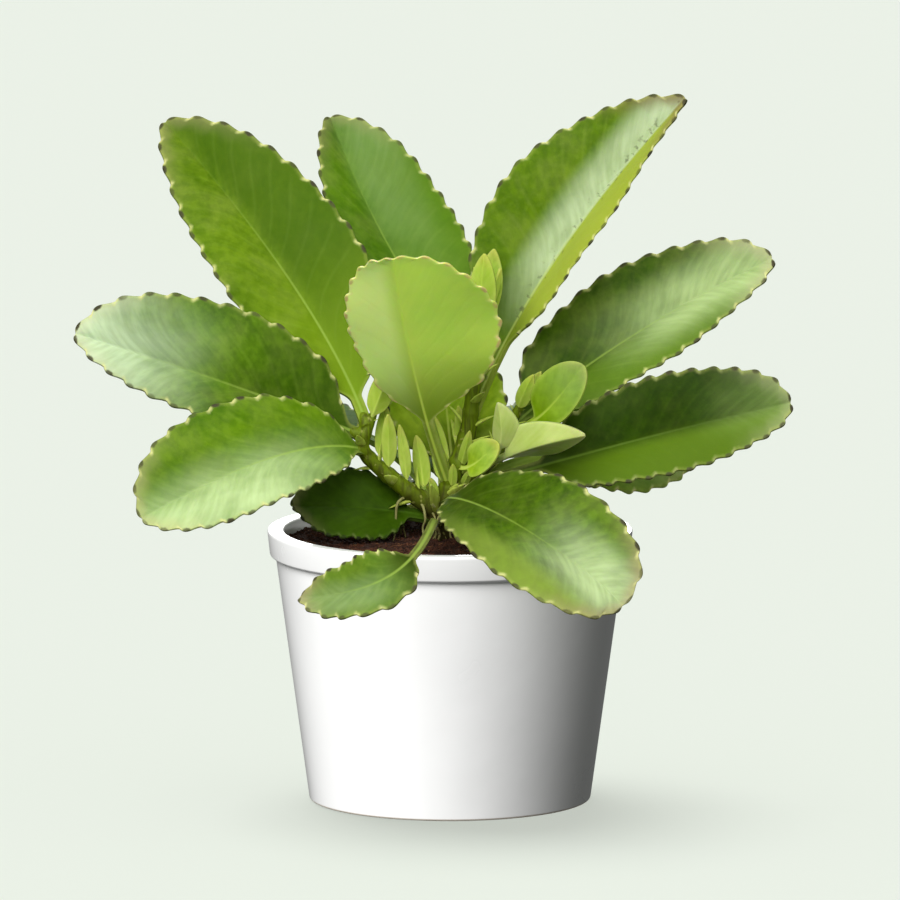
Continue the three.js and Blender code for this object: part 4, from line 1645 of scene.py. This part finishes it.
# Underside and right half paler than the leaf's own underside: painted light, standing in for light
# shining through the leaf.
UNDERSIDE = LeafFinish(
    "lime_underside_leaf", under=srgb(184, 214, 88), fresh=srgb(120, 165, 20),
    rib=srgb(204, 224, 96), margin=srgb(228, 220, 140), tooth=srgb(196, 172, 116),
    pale_notch=srgb(234, 228, 150), turned=0.85, turned_at=-4, turned_over=9,
    right_half_painted_light=srgb(226, 248, 150), foot=srgb(98, 124, 10), foot_shading=0.85, tinged=0.2, glow=0.6)
LIME = LeafFinish(
    "lime_leaf", deep=srgb(114, 150, 8), fresh=srgb(166, 196, 46), under=srgb(150, 180, 50),
    rib=srgb(198, 216, 100), margin=srgb(208, 218, 116), blush=srgb(186, 170, 80), tinged=0.5,
    glow=0.2)
GROWING = LeafFinish(
    "growing_leaf", deep=srgb(88, 122, 0), fresh=srgb(116, 150, 12), under=srgb(150, 180, 50),
    rib=srgb(176, 198, 76), margin=srgb(200, 214, 100), glow=0.15)
PALE = LeafFinish(
    "pale_leaf", deep=srgb(144, 166, 76), fresh=srgb(172, 190, 104), under=srgb(164, 184, 84),
    rib=srgb(204, 216, 138), margin=srgb(214, 222, 156), glow=0.35)
PEEPING = LeafFinish(
    "peeping_leaf", deep=srgb(104, 138, 26), fresh=srgb(140, 170, 58), wax_sheen_share=0.3, bloom_side=-8,
    bloom_width=12, tooth=srgb(130, 150, 70), sallow=0.2, glow=0.2)

LEAVES = (
    Leaf("left_tall", ((-29.5, -3, 134), (-45, 16, 176), (-102, 45, 237)), (0.1, -0.9, 0.5),
         51, 0.08, 15, 0.46, 1.1, -0.08, 15, TALL),
    Leaf("back_tall", ((9, 1, 157), (-20, 42, 177), (-43, 65, 236)), (0.2, -0.8, 0.6),
         44, 0.12, 22, 0.48, 1.0, -0.15, 14, COOL),
    Leaf("right_tall", ((6, 2, 130), (23, 20, 182), (84, 22, 249)), (-0.42, -0.76, 0.5),
         47, 0.24, 32, 0.42, 1.4, 0.29, 15, FOLDED),
    Leaf("right_high", ((19, 2, 129), (46, 20, 156), (115, 22, 191)), (-0.3, -0.8, 0.5),
         42, 0.09, 16, 0.49, 1.05, 0.11, 14, DUSKY, Slot.LEAF_FROSTED),
    Leaf("right_low", ((1, -0.5, 109.5), (48, -6, 126), (121, -12, 144)), (-0.1, -0.9, 0.4),
         36, 0.26, 14, 0.55, 0.95, 0.1, 14, SOMBRE, Slot.LEAF_FROSTED),
    Leaf("under_right", ((4, 1, 111), (40, 14, 131), (87, 18, 118)), (0, -0.85, 0.5),
         27, 0.4, 10, 0.5, 1.1, -0.25, 9, PEEPING, Slot.LEAF_DARK),
    Leaf("front_right", ((-2, 0, 106), (2, -44, 119), (34, -70, 107), (61, -80, 82)),
         (-0.35, -0.5, 0.8), 47, 0.12, 15, 0.68, 1.3, 0, 12, DROOPING, Slot.LEAF_FROSTED),
    Leaf("front_middle", ((0, 0, 112), (-13, -22, 150), (-20, -48, 201)), (0.2, 0.9, 0.4),
         56, 0.3, 17, 0.54, 1.2, 0.16, 12, UNDERSIDE, Slot.LEAF_LIME),
    Leaf("left_high", ((-31, -3, 130.5), (-64, -7, 146), (-133, -13, 169)), (0.1, -0.95, 0.35),
         41, 0.05, 13, 0.52, 1.05, -0.27, 13, FROSTED, Slot.LEAF_FROSTED),
    Leaf("left_low", ((-30.2, -3, 125), (-53, -32, 138), (-109, -48, 108)), (0.2, -0.8, 0.6),
         43, 0.05, 15, 0.6, 1.2, -0.12, 13, SILVER, Slot.LEAF_FROSTED),
    Leaf("shade_left", ((-4, 1, 100), (-30, -4, 106), (-56, -12, 107)), (0.2, -0.7, 0.7),
         30, 0.2, 8, 0.55, 1.1, 0, 10, SHADED_COPY, Slot.LEAF_DARK),
    Leaf("over_rim", ((-4, 1, 98), (-8, -60, 116), (-4, -94, 88), (-53, -60, 82)),
         (0.1, -0.8, 0.5), 22, 0.6, 10, 0.45, 1.1, 0, 8, HANGING, Slot.LEAF_FROSTED),
    Leaf("inner", ((1.2, 0.9, 116), (0, 13, 126), (-4, 24, 162)), (0.05, -0.9, 0.35),
         42, 0.1, 12, 0.5, 1.0, 0, 8, INNER, Slot.LEAF_DARK),
    Leaf("rear_high", ((-1.6, 0, 108.5), (-3, 42, 140), (-8, 92, 152)), (0, -0.2, 1),
         40, 0.2, 14, 0.5, 1.1, 0, 12, GREEN),
    Leaf("rear_left", ((-6, -0.5, 108), (-28, 18, 142), (-88, 72, 121)), (0.2, -0.2, 1),
         38, 0.36, 12, 0.5, 1.1, 0, 12, GREEN),
    Leaf("rear_right", ((17, 1.5, 126), (36, 44, 140), (66, 90, 118)), (-0.2, -0.2, 1),
         38, 0.2, 12, 0.5, 1.1, 0, 12, GREEN),
    Leaf("rear_low", ((-3, 0, 104), (6, 40, 124), (14, 84, 110)), (0, 0, 1),
         36, 0.2, 12, 0.5, 1.1, 0, 11, GREEN),
    Leaf("rear_rim", ((-4, 1, 100), (-26, 42, 116), (-52, 78, 88)), (-0.2, 0.3, 1),
         30, 0.3, 10, 0.5, 1.1, 0, 10, GREEN),
)
SMALL_LEAVES = (
    Leaf("ovate", ((21.5, 2, 133), (31, -14, 133), (47, -14, 158)), (-0.3, -0.9, 0.3),
         17, 0.35, 12, 0.5, 1, 0.1, 0, GROWING, Slot.YOUNG_LEAF),
    Leaf("boat", ((12.5, 1, 119), (25, -21, 130), (48, -22, 134)), (-0.1, 0.9, 0.3),
         20, 0.3, 38, 0.35, 1.1, 0.2, 0, PALE, Slot.LEAF_PALE),
    Leaf("lime", ((2.6, 1, 119.5), (6, -11, 117), (17, -13, 130)), (-0.4, -0.8, 0.4),
         12, 0.35, 18, 0.5, 1, 0, 0, LIME, Slot.YOUNG_LEAF),
)
BOAT_TWIN = Leaf("boat_twin", ((13.2, 0.2, 119.6), (21, -17, 127), (17, -14.5, 144.5)),
                 (0.3, 0.9, 0.2), 11, 0.45, 32, 0.35, 1.1, 0.2, 0, PALE, Slot.LEAF_PALE)


# ---- Stem and fresh growth ----


@dataclass(frozen=True)
class Limb:
    """A round limb through some points, its radius going evenly from foot to tip.

    Scars are rings that swell by a share of the radius. The last points are drawn in to a tip.
    """

    points: tuple[Point, ...]
    radii: Pair
    scars: float = 0.0
    scar_spacing: float = 9.5
    scar_sharpness: int = 14
    tip: Point = (0.97, 0.85, 0.5)
    spacing: float = 0.8
    span_points: int = 40
    fewest_points: int = 4

    def line(self) -> tuple[np.ndarray, np.ndarray]:
        """The limb's centre line.

        Returns:
            The points of a smooth curve through the limb's own, and the radius at each.
        """
        knots = np.array(self.points, float)
        ends = np.concatenate([[2 * knots[0] - knots[1]], knots, [2 * knots[-1] - knots[-2]]])
        t = np.linspace(0, 1, self.span_points, endpoint=False)[:, None]
        spans = [0.5 * (2 * b + (c - a) * t + (2 * a - 5 * b + 4 * c - d) * t ** 2
                        + (3 * b - a - 3 * c + d) * t ** 3)
                 for a, b, c, d in zip(ends, ends[1:], ends[2:], ends[3:])]
        dense = np.concatenate([*spans, knots[-1:]])
        run = run_of(dense)
        wanted = np.linspace(0, run[-1], max(self.fewest_points, int(run[-1] / self.spacing)))
        centre = np.stack([np.interp(wanted, run, dense[:, axis]) for axis in range(3)], axis=1)
        radius = np.interp(wanted, [0, run[-1]], self.radii)
        beat = np.abs(np.sin(wanted / self.scar_spacing * math.pi)) ** self.scar_sharpness
        radius = radius * (1 + self.scars * beat)
        radius[-3:] *= self.tip
        return centre, radius


def young_leaf(name: str, rib: tuple[Point, ...], face: Point, **sizes: float) -> Leaf:
    """A young leaf with a plain margin.

    Args:
        name: Its name.
        rib: The points of its middle line.
        face: The way its upper side faces.
        sizes: Its width, stalk, fold and narrowing, as in a leaf.

    Returns:
        The leaf.
    """
    return Leaf(name, rib, face, widest=0.45, lean=0, scallops=0, finish=LIME,
                slot=Slot.YOUNG_LEAF, **sizes)


@dataclass
class Stem:
    """The forked stem with its leaf cushions, bud scales, crown sprouts and hanging rootlets."""

    cushion_length: float = 5.5
    cushion_least: float = 0.75
    cushion_radii: Pair = (2.7, 1.9)
    voxel: float = 0.42
    relaxed: float = 0.5
    relaxings: int = 3
    sides: int = 24
    bark_scale: float = 260
    bark_relief: float = 0.35
    seed: int = 4
    shoots: tuple[Limb, ...] = (
        Limb(((-4, 1, 70), (-4, 1, 84), (-4, 1, 94), (-3.4, 0.5, 101), (-2, 0, 107)),
             (5.2, 4.4), 0.05),
        Limb(((-2, 0, 107), (2, 1, 118), (6, 2, 130), (8, 1, 144), (9, 1, 157), (11, 2, 167)),
             (3.8, 2), 0.09),
        Limb(((-3, 0.5, 102), (-16, -1, 111.5), (-26, -2, 120), (-31, -3, 126.5), (-29, -3, 135)),
             (3.6, 2.2), 0.09),
        Limb(((-2, 0, 107), (6, 1, 113), (14, 1, 121), (20, 2, 130), (23, 2, 138)),
             (3.4, 2), 0.09),
    )
    sprouts: tuple[tuple[Point, Point, float], ...] = (
        ((0, -1, 110), (1, -6, 121), 3.8),
        ((-5, -2, 107), (-7, -6, 116), 3.4),
        ((4, -1, 112), (7, -7, 119), 3.2),
        ((3, 0, 117), (7, -6, 133), 4.2),
        ((-15, -1, 111), (-18, -4, 135), 4.6),
        ((-9, 0, 108), (-12, 3, 130), 6.5),
        ((-22, -1.6, 116), (-22, -6, 139), 6.0),
        ((-25, -2, 119.5), (-23, 2, 141), 6.5),
        ((9, 0.5, 116), (12, -5, 130), 3.6),
        ((-2, 1, 109), (-6, 6, 137), 7.0),
        ((5, 1, 114), (3, 7, 140), 6.0),
    )
    sprout_knee: Point = (0.6, -1.0, 0)
    rootlet_count: int = 13
    rootlet_route: tuple[Point, ...] = ((-18, -1.2, 110.5), (-4, 0, 103), (2, 0, 102))
    rootlet_step: float = 0.4
    rootlet_bearings: tuple[Pair, Pair] = ((-150, -30), (30, 150))
    rootlet_reach: Pair = (4.5, 8.5)
    rootlet_falls: tuple[Pair, ...] = ((0, 0), (0.7, 0.12), (1, 0.45), (0.9, 0.75))
    rootlet_unrest: float = 0.8
    rootlet_spread: Pair = (0.7, 1.3)
    rootlet_radii: Pair = (0.35, 0.7)
    rootlet_taper: float = 0.5
    rootlet_relief: float = 0.2
    rootlet_sides: int = 10
    peat_level: float = 93.2
    scale_spacing: float = 8.0
    scale_size: float = 2.1
    scale_tilt: float = 40
    scale_half_extents: Pair = (0.16, 0.36)
    scale_taper: float = 0.75
    scale_curl: float = 0.35
    scale_sizes: Pair = (0.75, 1.25)
    scale_unrest: float = 0.6

    def sweep(self) -> Growth:
        """The tree that sweeps a ring along the host's lines at each point's own radius.

        Returns:
            The tree.
        """
        tree = Growth("swept_limbs")
        sides, = tree.named("Int", "Sides")
        relief, seed = tree.named("Float", "Relief", "Seed")
        line = tree.add("GeometryNodeMeshToCurve", {0: tree.given("Geometry")}).outputs[0]
        radius = tree.add("GeometryNodeInputNamedAttribute", {"Name": "radius"}, data_type="FLOAT")
        ring = tree.add("GeometryNodeCurvePrimitiveCircle", {"Resolution": sides, "Radius": 1.0})
        swept = tree.add("GeometryNodeCurveToMesh", {
            "Curve": line, "Profile Curve": ring.outputs[0],
            "Scale": radius.outputs[0], "Fill Caps": True,
        }).outputs[0]
        pattern = tree.add("ShaderNodeTexNoise", {
            "W": seed, "Scale": self.bark_scale, "Detail": 3.0}, noise_dimensions="4D").outputs[0]
        shift = tree.add("ShaderNodeVectorMath", {
            0: tree.add("GeometryNodeInputNormal").outputs[0],
            "Scale": tree.times(tree.maths("SUBTRACT", pattern, 0.5), relief),
        }, operation="SCALE").outputs[0]
        tree.finish(tree.moved(swept, Offset=shift))
        return tree

    def lines_of(self, name: str, limbs: Sequence[Limb]) -> Object:
        """The limbs' centre lines as a host, with the radius kept at each point.

        Args:
            name: The host's name.
            limbs: The limbs.

        Returns:
            The host.
        """
        lines = [limb.line() for limb in limbs]
        edges, start = [], 0
        for centre, _ in lines:
            edges += [(start + i, start + i + 1) for i in range(len(centre) - 1)]
            start += len(centre)
        host = lines_in_scene(name, np.concatenate([centre for centre, _ in lines]), edges)
        radii = np.concatenate([radius for _, radius in lines]) * MM
        host.data.attributes.new("radius", "FLOAT", "POINT").data.foreach_set("value", radii)
        return host

    def swept(self, name: str, limbs: Sequence[Limb], finish: StemFinish, relief: float,
              sides: int) -> Object:
        """Sweeps limbs into one object.

        Args:
            name: The object's name.
            limbs: The limbs.
            finish: Their skin.
            relief: How uneven the skin is, in millimetres.
            sides: How many sides a limb has.

        Returns:
            The object, not yet handed over.
        """
        host = self.lines_of(f"{name}_lines", limbs)
        grown = self.sweep().grow(host, finish.material(), Sides=sides, Relief=relief * MM,
                                  Seed=float(self.seed))
        return in_scene(name, outward(grown))

    def rootlets(self) -> list[Limb]:
        """Thin roots that hang from the crown's underside to the peat, each bent its own way.

        Returns:
            The rootlets.
        """
        draw = np.random.default_rng(self.seed)
        route = np.array(self.rootlet_route)
        unrest, front, back = self.rootlet_unrest, *self.rootlet_bearings
        threads = []
        for number in range(self.rootlet_count):
            step = number + draw.uniform(-self.rootlet_step, self.rootlet_step)
            share = step / (self.rootlet_count - 1) * 2
            foot = np.array([np.interp(share, (0, 1, 2), route[:, axis]) for axis in range(3)])
            bearing = draw.uniform(*(front if number % 3 else back))
            outwards = heading(bearing) * draw.uniform(*self.rootlet_reach)
            drop = foot[2] - self.peat_level
            places = [
                foot + outwards * reach + draw.uniform(-unrest, unrest, 3) - (0, 0, drop * fall)
                for reach, fall in self.rootlet_falls]
            landing = foot + outwards * draw.uniform(*self.rootlet_spread)
            places.append((*landing[:2], self.peat_level))
            radius = draw.uniform(*self.rootlet_radii)
            threads.append(Limb(points_of(places), (radius, radius * self.rootlet_taper)))
        return threads

    def scale(self, tree: Growth) -> NodeSocket:
        """A small pointed scale that stands on its foot and curls outwards.

        Args:
            tree: The tree it goes into.

        Returns:
            Its geometry's socket.
        """
        pod = tree.add("GeometryNodeMeshIcoSphere", {"Radius": 1.0, "Subdivisions": 2}).outputs[0]
        place = tree.parts()
        height = tree.maths("MULTIPLY_ADD", place["Z"], 0.5, 0.5)
        taper = tree.weighted(1.0, (tree.times(height, height), -self.scale_taper))
        thick, wide = self.scale_half_extents
        curl = tree.times(height, height, self.scale_curl)
        shaped = tree.vector(tree.maths("ADD", tree.times(place["X"], taper, thick), curl),
                             tree.times(place["Y"], taper, wide), tree.times(height, 2.0))
        return tree.moved(pod, Position=shaped)

    def scaled(self) -> Growth:
        """The tree that sets pairs of small pointed scales along the host's lines.

        A scale starts at the line, inside the limb, and leans out of it. Each pair is turned
        across the one below.

        Returns:
            The tree.
        """
        tree = Growth("paired_scales")
        spacing, size, tilt = tree.named("Float", "Spacing", "Size", "Tilt")
        seed, = tree.named("Int", "Seed")
        line = tree.add("GeometryNodeMeshToCurve", {0: tree.given("Geometry")}).outputs[0]
        spread = tree.add("GeometryNodeCurveToPoints", {"Curve": line, "Length": spacing},
                          mode="LENGTH").outputs
        pod = self.scale(tree)
        radius = tree.add("GeometryNodeInputNamedAttribute", {"Name": "radius"}, data_type="FLOAT")
        grown = tree.times(radius.outputs[0], size, tree.random(self.scale_sizes, 2))
        quarter = tree.times(tree.add("GeometryNodeInputIndex").outputs[0], math.pi / 2)
        unrest = tree.random((-self.scale_unrest, self.scale_unrest), seed)
        unsteady = tree.maths("ADD", quarter, unrest)
        lean = tree.add("FunctionNodeAxisAngleToRotation", {"Axis": (0.0, 1.0, 0.0), "Angle": tilt})
        joined = tree.add("GeometryNodeJoinGeometry")
        for half in (0.0, math.pi):
            turn = tree.add("FunctionNodeAxisAngleToRotation", {
                "Axis": (0.0, 0.0, 1.0), "Angle": tree.maths("ADD", unsteady, half)})
            leaning = spread["Rotation"]
            for rotation in (turn, lean):
                leaning = tree.add("FunctionNodeRotateRotation", {
                    0: leaning, 1: rotation.outputs[0]}, rotation_space="LOCAL").outputs[0]
            pods = tree.add("GeometryNodeInstanceOnPoints", {
                "Points": spread["Points"], "Instance": pod, "Rotation": leaning, "Scale": grown})
            tree.feed(joined.inputs[0], pods.outputs[0])
        tree.finish(joined.outputs[0])
        return tree

    def scales(self) -> Object:
        """The pairs of scales on the upper shoots, not yet handed over.

        Returns:
            Their object.
        """
        finish = StemFinish("bud_scale", foot=srgb(150, 158, 62), green=srgb(172, 192, 76),
                            cork=srgb(214, 206, 150), dark_foot_below=100, green_above=125)
        mesh = self.scaled().grow(
            self.lines_of("scale_lines", self.shoots[1:]), finish.material(),
            Spacing=self.scale_spacing * MM, Size=self.scale_size,
            Tilt=math.radians(self.scale_tilt), Seed=self.seed)
        return in_scene("bud_scales", outward(mesh))

    def cushions(self, leaves: Sequence[Leaf]) -> list[Limb]:
        """The swollen foot of each leaf's stalk, where it leaves the stem.

        Args:
            leaves: The leaves.

        Returns:
            A short limb for each.
        """
        feet = []
        for leaf in leaves:
            grown = self.cushion_least + (1 - self.cushion_least) * leaf.sturdiness
            reach = self.cushion_length * grown
            places = leaf.line.at(leaf.line.step_at(np.array([0, reach / 2, reach])))
            foot, end = self.cushion_radii
            feet.append(Limb(points_of(places), (foot * leaf.sturdiness, end * leaf.sturdiness)))
        return feet

    def fuse(self, thing: Object) -> None:
        """Fuses an object's crossing limbs into one smooth skin.

        Args:
            thing: The object.
        """
        material = thing.data.materials[0]
        remesh = thing.modifiers.new("fuse", "REMESH")
        remesh.mode = "VOXEL"
        remesh.voxel_size = self.voxel * MM
        relax = thing.modifiers.new("relax", "SMOOTH")
        relax.factor = self.relaxed
        relax.iterations = self.relaxings
        skin = baked(thing)
        thing.modifiers.clear()
        thing.data = skin
        skin.shade_smooth()
        dress(thing, material)

    def build(self, leaves: Sequence[Leaf], tips: Sequence["ShootTip"]) -> None:
        """Makes the stem with its scales, sprouts and rootlets, and hands them over.

        Args:
            leaves: The leaves that it carries.
            tips: The growth at the ends of its shoots.
        """
        limbs = [*self.shoots, *self.cushions(leaves), *(tip.core() for tip in tips)]
        stem = self.swept("forked_stem", limbs, StemFinish("stem_bark"), self.bark_relief,
                          self.sides)
        self.fuse(stem)
        hand_over(stem, Slot.STEM_BARK, "stem")
        hand_over(self.scales(), Slot.STEM_BARK, "stem")
        for number, (foot, tip, width) in enumerate(self.sprouts):
            knee = (np.array(foot) + tip) / 2 + self.sprout_knee
            sprout = young_leaf(f"crown_sprout_{number}", (foot, tuple(knee), tip), (0.1, 0.9, 0.3),
                                width=width, stalk=0.15, fold=28, narrowing=1.2, stalk_rows=4)
            sprout.build(sprout.name, "stem")
        pale = StemFinish("rootlet_skin", foot=srgb(112, 100, 56), green=srgb(140, 140, 84),
                          cork=srgb(186, 180, 136), dark_foot_below=94, green_above=108)
        hand_over(self.swept("hanging_rootlets", self.rootlets(), pale, self.rootlet_relief,
                             self.rootlet_sides), Slot.STEM_BARK, "stem")


@dataclass
class ShootTip:
    """A shoot's soft tip with pairs of young leaves, each smaller and turned across the last."""

    name: str
    foot: Point
    growth: Point
    turn: float
    lengths: tuple[float, ...]
    core_length: float = 7
    radii: Pair = (2, 1.2)
    first_pair_at: float = 0.3
    spread: float = 0.28
    kept: float = 0.8
    width_share: float = 0.36

    def upwards(self) -> np.ndarray:
        """The unit vector along which the shoot grows."""
        return np.array(self.growth) / np.linalg.norm(self.growth)

    def core(self) -> Limb:
        """The soft end of the shoot, between the young leaves."""
        rises = self.upwards() * self.core_length * np.array([[0], [0.5], [1]])
        return Limb(points_of(np.array(self.foot) + rises), self.radii)

    def leaves(self) -> list[Leaf]:
        """The young leaves.

        Returns:
            The leaves, pair by pair.
        """
        upwards, young = self.upwards(), []
        for pair, length in enumerate(self.lengths):
            rise = self.core_length * self.first_pair_at * (1 + pair)
            for half in (0, 180):
                outwards = heading(self.turn + half + 90 * pair)
                start = np.array(self.foot) + upwards * rise
                knee = start + upwards * length / 2 + outwards * length * self.spread
                tip = start + upwards * length + outwards * length * self.spread * self.kept
                young.append(young_leaf(
                    f"{self.name}_{pair}_{half}", points_of((start, knee, tip)), tuple(-outwards),
                    width=length * self.width_share, stalk=0.1, fold=20, narrowing=1.3))
        return young

    def build(self) -> None:
        """Makes the young leaves and hands them over."""
        for leaf in self.leaves():
            leaf.build(leaf.name, self.name)


# ---- Studio ----


class Part(Enum):
    """What a lamp lights, or what casts its shadow."""

    POT = "pot"
    PLANT = "plant"
    FLOOR = "floor"


@dataclass(frozen=True)
class Lamp:
    """A wide soft lamp a long way off.

    azimuth, elevation and spread, the angle that it takes up in the sky, are in degrees. The
    strength is in watts per square metre. Where no part is named as casting, all of them cast.
    """

    name: str
    azimuth: float
    elevation: float
    spread: float
    strength: float
    lit: Part
    casting: Part | None = None


@dataclass
class Studio:
    """The floor, the soft lights and the camera. Its lengths are in metres."""

    target_height: float = 0.12512
    distance: float = 6.0
    elevation: float = 8.8
    lens: float = 675.7
    sensor: float = 36
    sees_to: float = 60
    floor_reach: float = 6.0
    floor_tiles: int = 12
    floor_drop: float = 0.0002
    daylight: float = 0.11
    sky: Rgb = (0.97, 1.0, 0.97)
    lamp_distance: float = 3.0
    lamps: tuple[Lamp, ...] = (
        Lamp("pot_key", -34, 40, 38, 5.7, Part.POT, Part.POT),
        Lamp("plant_key", -24, 48, 70, 3.4, Part.PLANT),
        Lamp("plant_fill", 20, 8, 120, 1.5, Part.PLANT),
        Lamp("plant_back", 168, 35, 80, 1.9, Part.PLANT),
        Lamp("pot_back", 180, 25, 50, 2.6, Part.POT, Part.POT),
        Lamp("pot_bounce", -70, -55, 80, 0.5, Part.POT, Part.POT),
        Lamp("floor_wash", 0, 89, 10, 1.85, Part.FLOOR, Part.FLOOR),
        Lamp("floor_shade", -155, 64, 46, 1.06, Part.FLOOR, Part.POT),
    )

    def floor(self) -> Object:
        """A wide level floor just under the pot, which throws no light back on it.

        Returns:
            The floor.
        """
        corners = self.floor_tiles + 1
        places = np.linspace(-self.floor_reach, self.floor_reach, corners)
        points = [(x, y, -self.floor_drop) for y in places for x in places]
        tiles = range(self.floor_tiles)
        feet = [row * corners + i for row in tiles for i in tiles]
        mesh = bpy.data.meshes.new("floor")
        mesh.from_pydata(points, [], [(a, a + 1, a + 1 + corners, a + corners) for a in feet])
        thing = in_scene("floor", mesh)
        dress(thing, FloorFinish().material())
        thing.visible_diffuse = False
        thing.visible_glossy = False
        return thing

    def aim(self, thing: Object, azimuth: float, elevation: float,
            distance: float) -> None:
        """Puts a thing on a sphere round the plant, facing its middle.

        Args:
            thing: The lamp or camera.
            azimuth: Its place round the plant in degrees, 0 in front and 90 at the right.
            elevation: Its place over the level, in degrees.
            distance: The sphere's radius.
        """
        rise = math.radians(elevation)
        way = Vector((*heading(azimuth - 90) * math.cos(rise),))
        way.z = math.sin(rise)
        thing.location = Vector((0, 0, self.target_height)) + way * distance
        thing.rotation_euler = way.to_track_quat("Z", "Y").to_euler()

    def light(self, lamp: Lamp, things: dict[Part, list[Object]]) -> None:
        """Adds a lamp.

        Args:
            lamp: The lamp.
            things: The objects of each part.
        """
        light = bpy.data.lights.new(lamp.name, "SUN")
        light.angle = math.radians(lamp.spread)
        light.energy = lamp.strength
        thing = in_scene(lamp.name, light)
        self.aim(thing, lamp.azimuth, lamp.elevation, self.lamp_distance)
        for role, part in (("receiver", lamp.lit), ("blocker", lamp.casting)):
            if part:
                linked = bpy.data.collections.new(f"{lamp.name}_{role}s")
                for member in things[part]:
                    linked.objects.link(member)
                setattr(thing.light_linking, f"{role}_collection", linked)

    def build(self) -> None:
        """Sets up the floor, the lamps, the daylight and the camera."""
        scene = bpy.context.scene
        pot = bpy.data.objects["glazed_pot"]
        pot.visible_diffuse = False
        plant = [thing for thing in scene.objects if thing.type == "MESH" and thing != pot]
        things = {Part.POT: [pot], Part.PLANT: plant, Part.FLOOR: [self.floor()]}
        for lamp in self.lamps:
            self.light(lamp, things)
        world = bpy.data.worlds.new("daylight")
        world.use_nodes = True
        daylight = world.node_tree.nodes["Background"].inputs
        daylight["Color"].default_value = (*self.sky, 1)
        daylight["Strength"].default_value = self.daylight
        scene.world = world
        scene.view_settings.view_transform = "Standard"
        camera = bpy.data.cameras.new("camera")
        camera.lens = self.lens
        camera.sensor_width = self.sensor
        camera.clip_end = self.sees_to
        scene.camera = in_scene("camera", camera)
        self.aim(scene.camera, 0, self.elevation, self.distance)


SHOOT_TIPS = (
    ShootTip("shoot_tip_middle", (11, 2, 166), (0.1, 0.1, 1), 75, (28, 20, 13)),
    ShootTip("shoot_tip_left", (-29, -3, 134), (0.4, 0.1, 1), 85, (24, 17, 12)),
    ShootTip("shoot_tip_right", (23, 2, 137), (0.5, -0.2, 1), 70, (16, 11, 7)),
)


def main() -> None:
    """Builds the plant and its pot, in the order in which they stand."""
    logging.basicConfig(level=logging.INFO, format="%(name)s %(message)s")
    pot = Pot()
    pot.build()
    Peat(pot).build()
    Stem().build([*LEAVES, *SMALL_LEAVES], SHOOT_TIPS)
    for leaf in LEAVES:
        leaf.build(f"{leaf.name}_leaf", f"leaf_{leaf.name}")
    for leaf in SMALL_LEAVES:
        leaf.build(f"{leaf.name}_small_leaf", f"small_leaf_{leaf.name}")
    BOAT_TWIN.build("boat_twin_small_leaf", "small_leaf_boat")
    for tip in SHOOT_TIPS:
        tip.build()
    Studio().build()


if __name__ == "__main__":
    main()
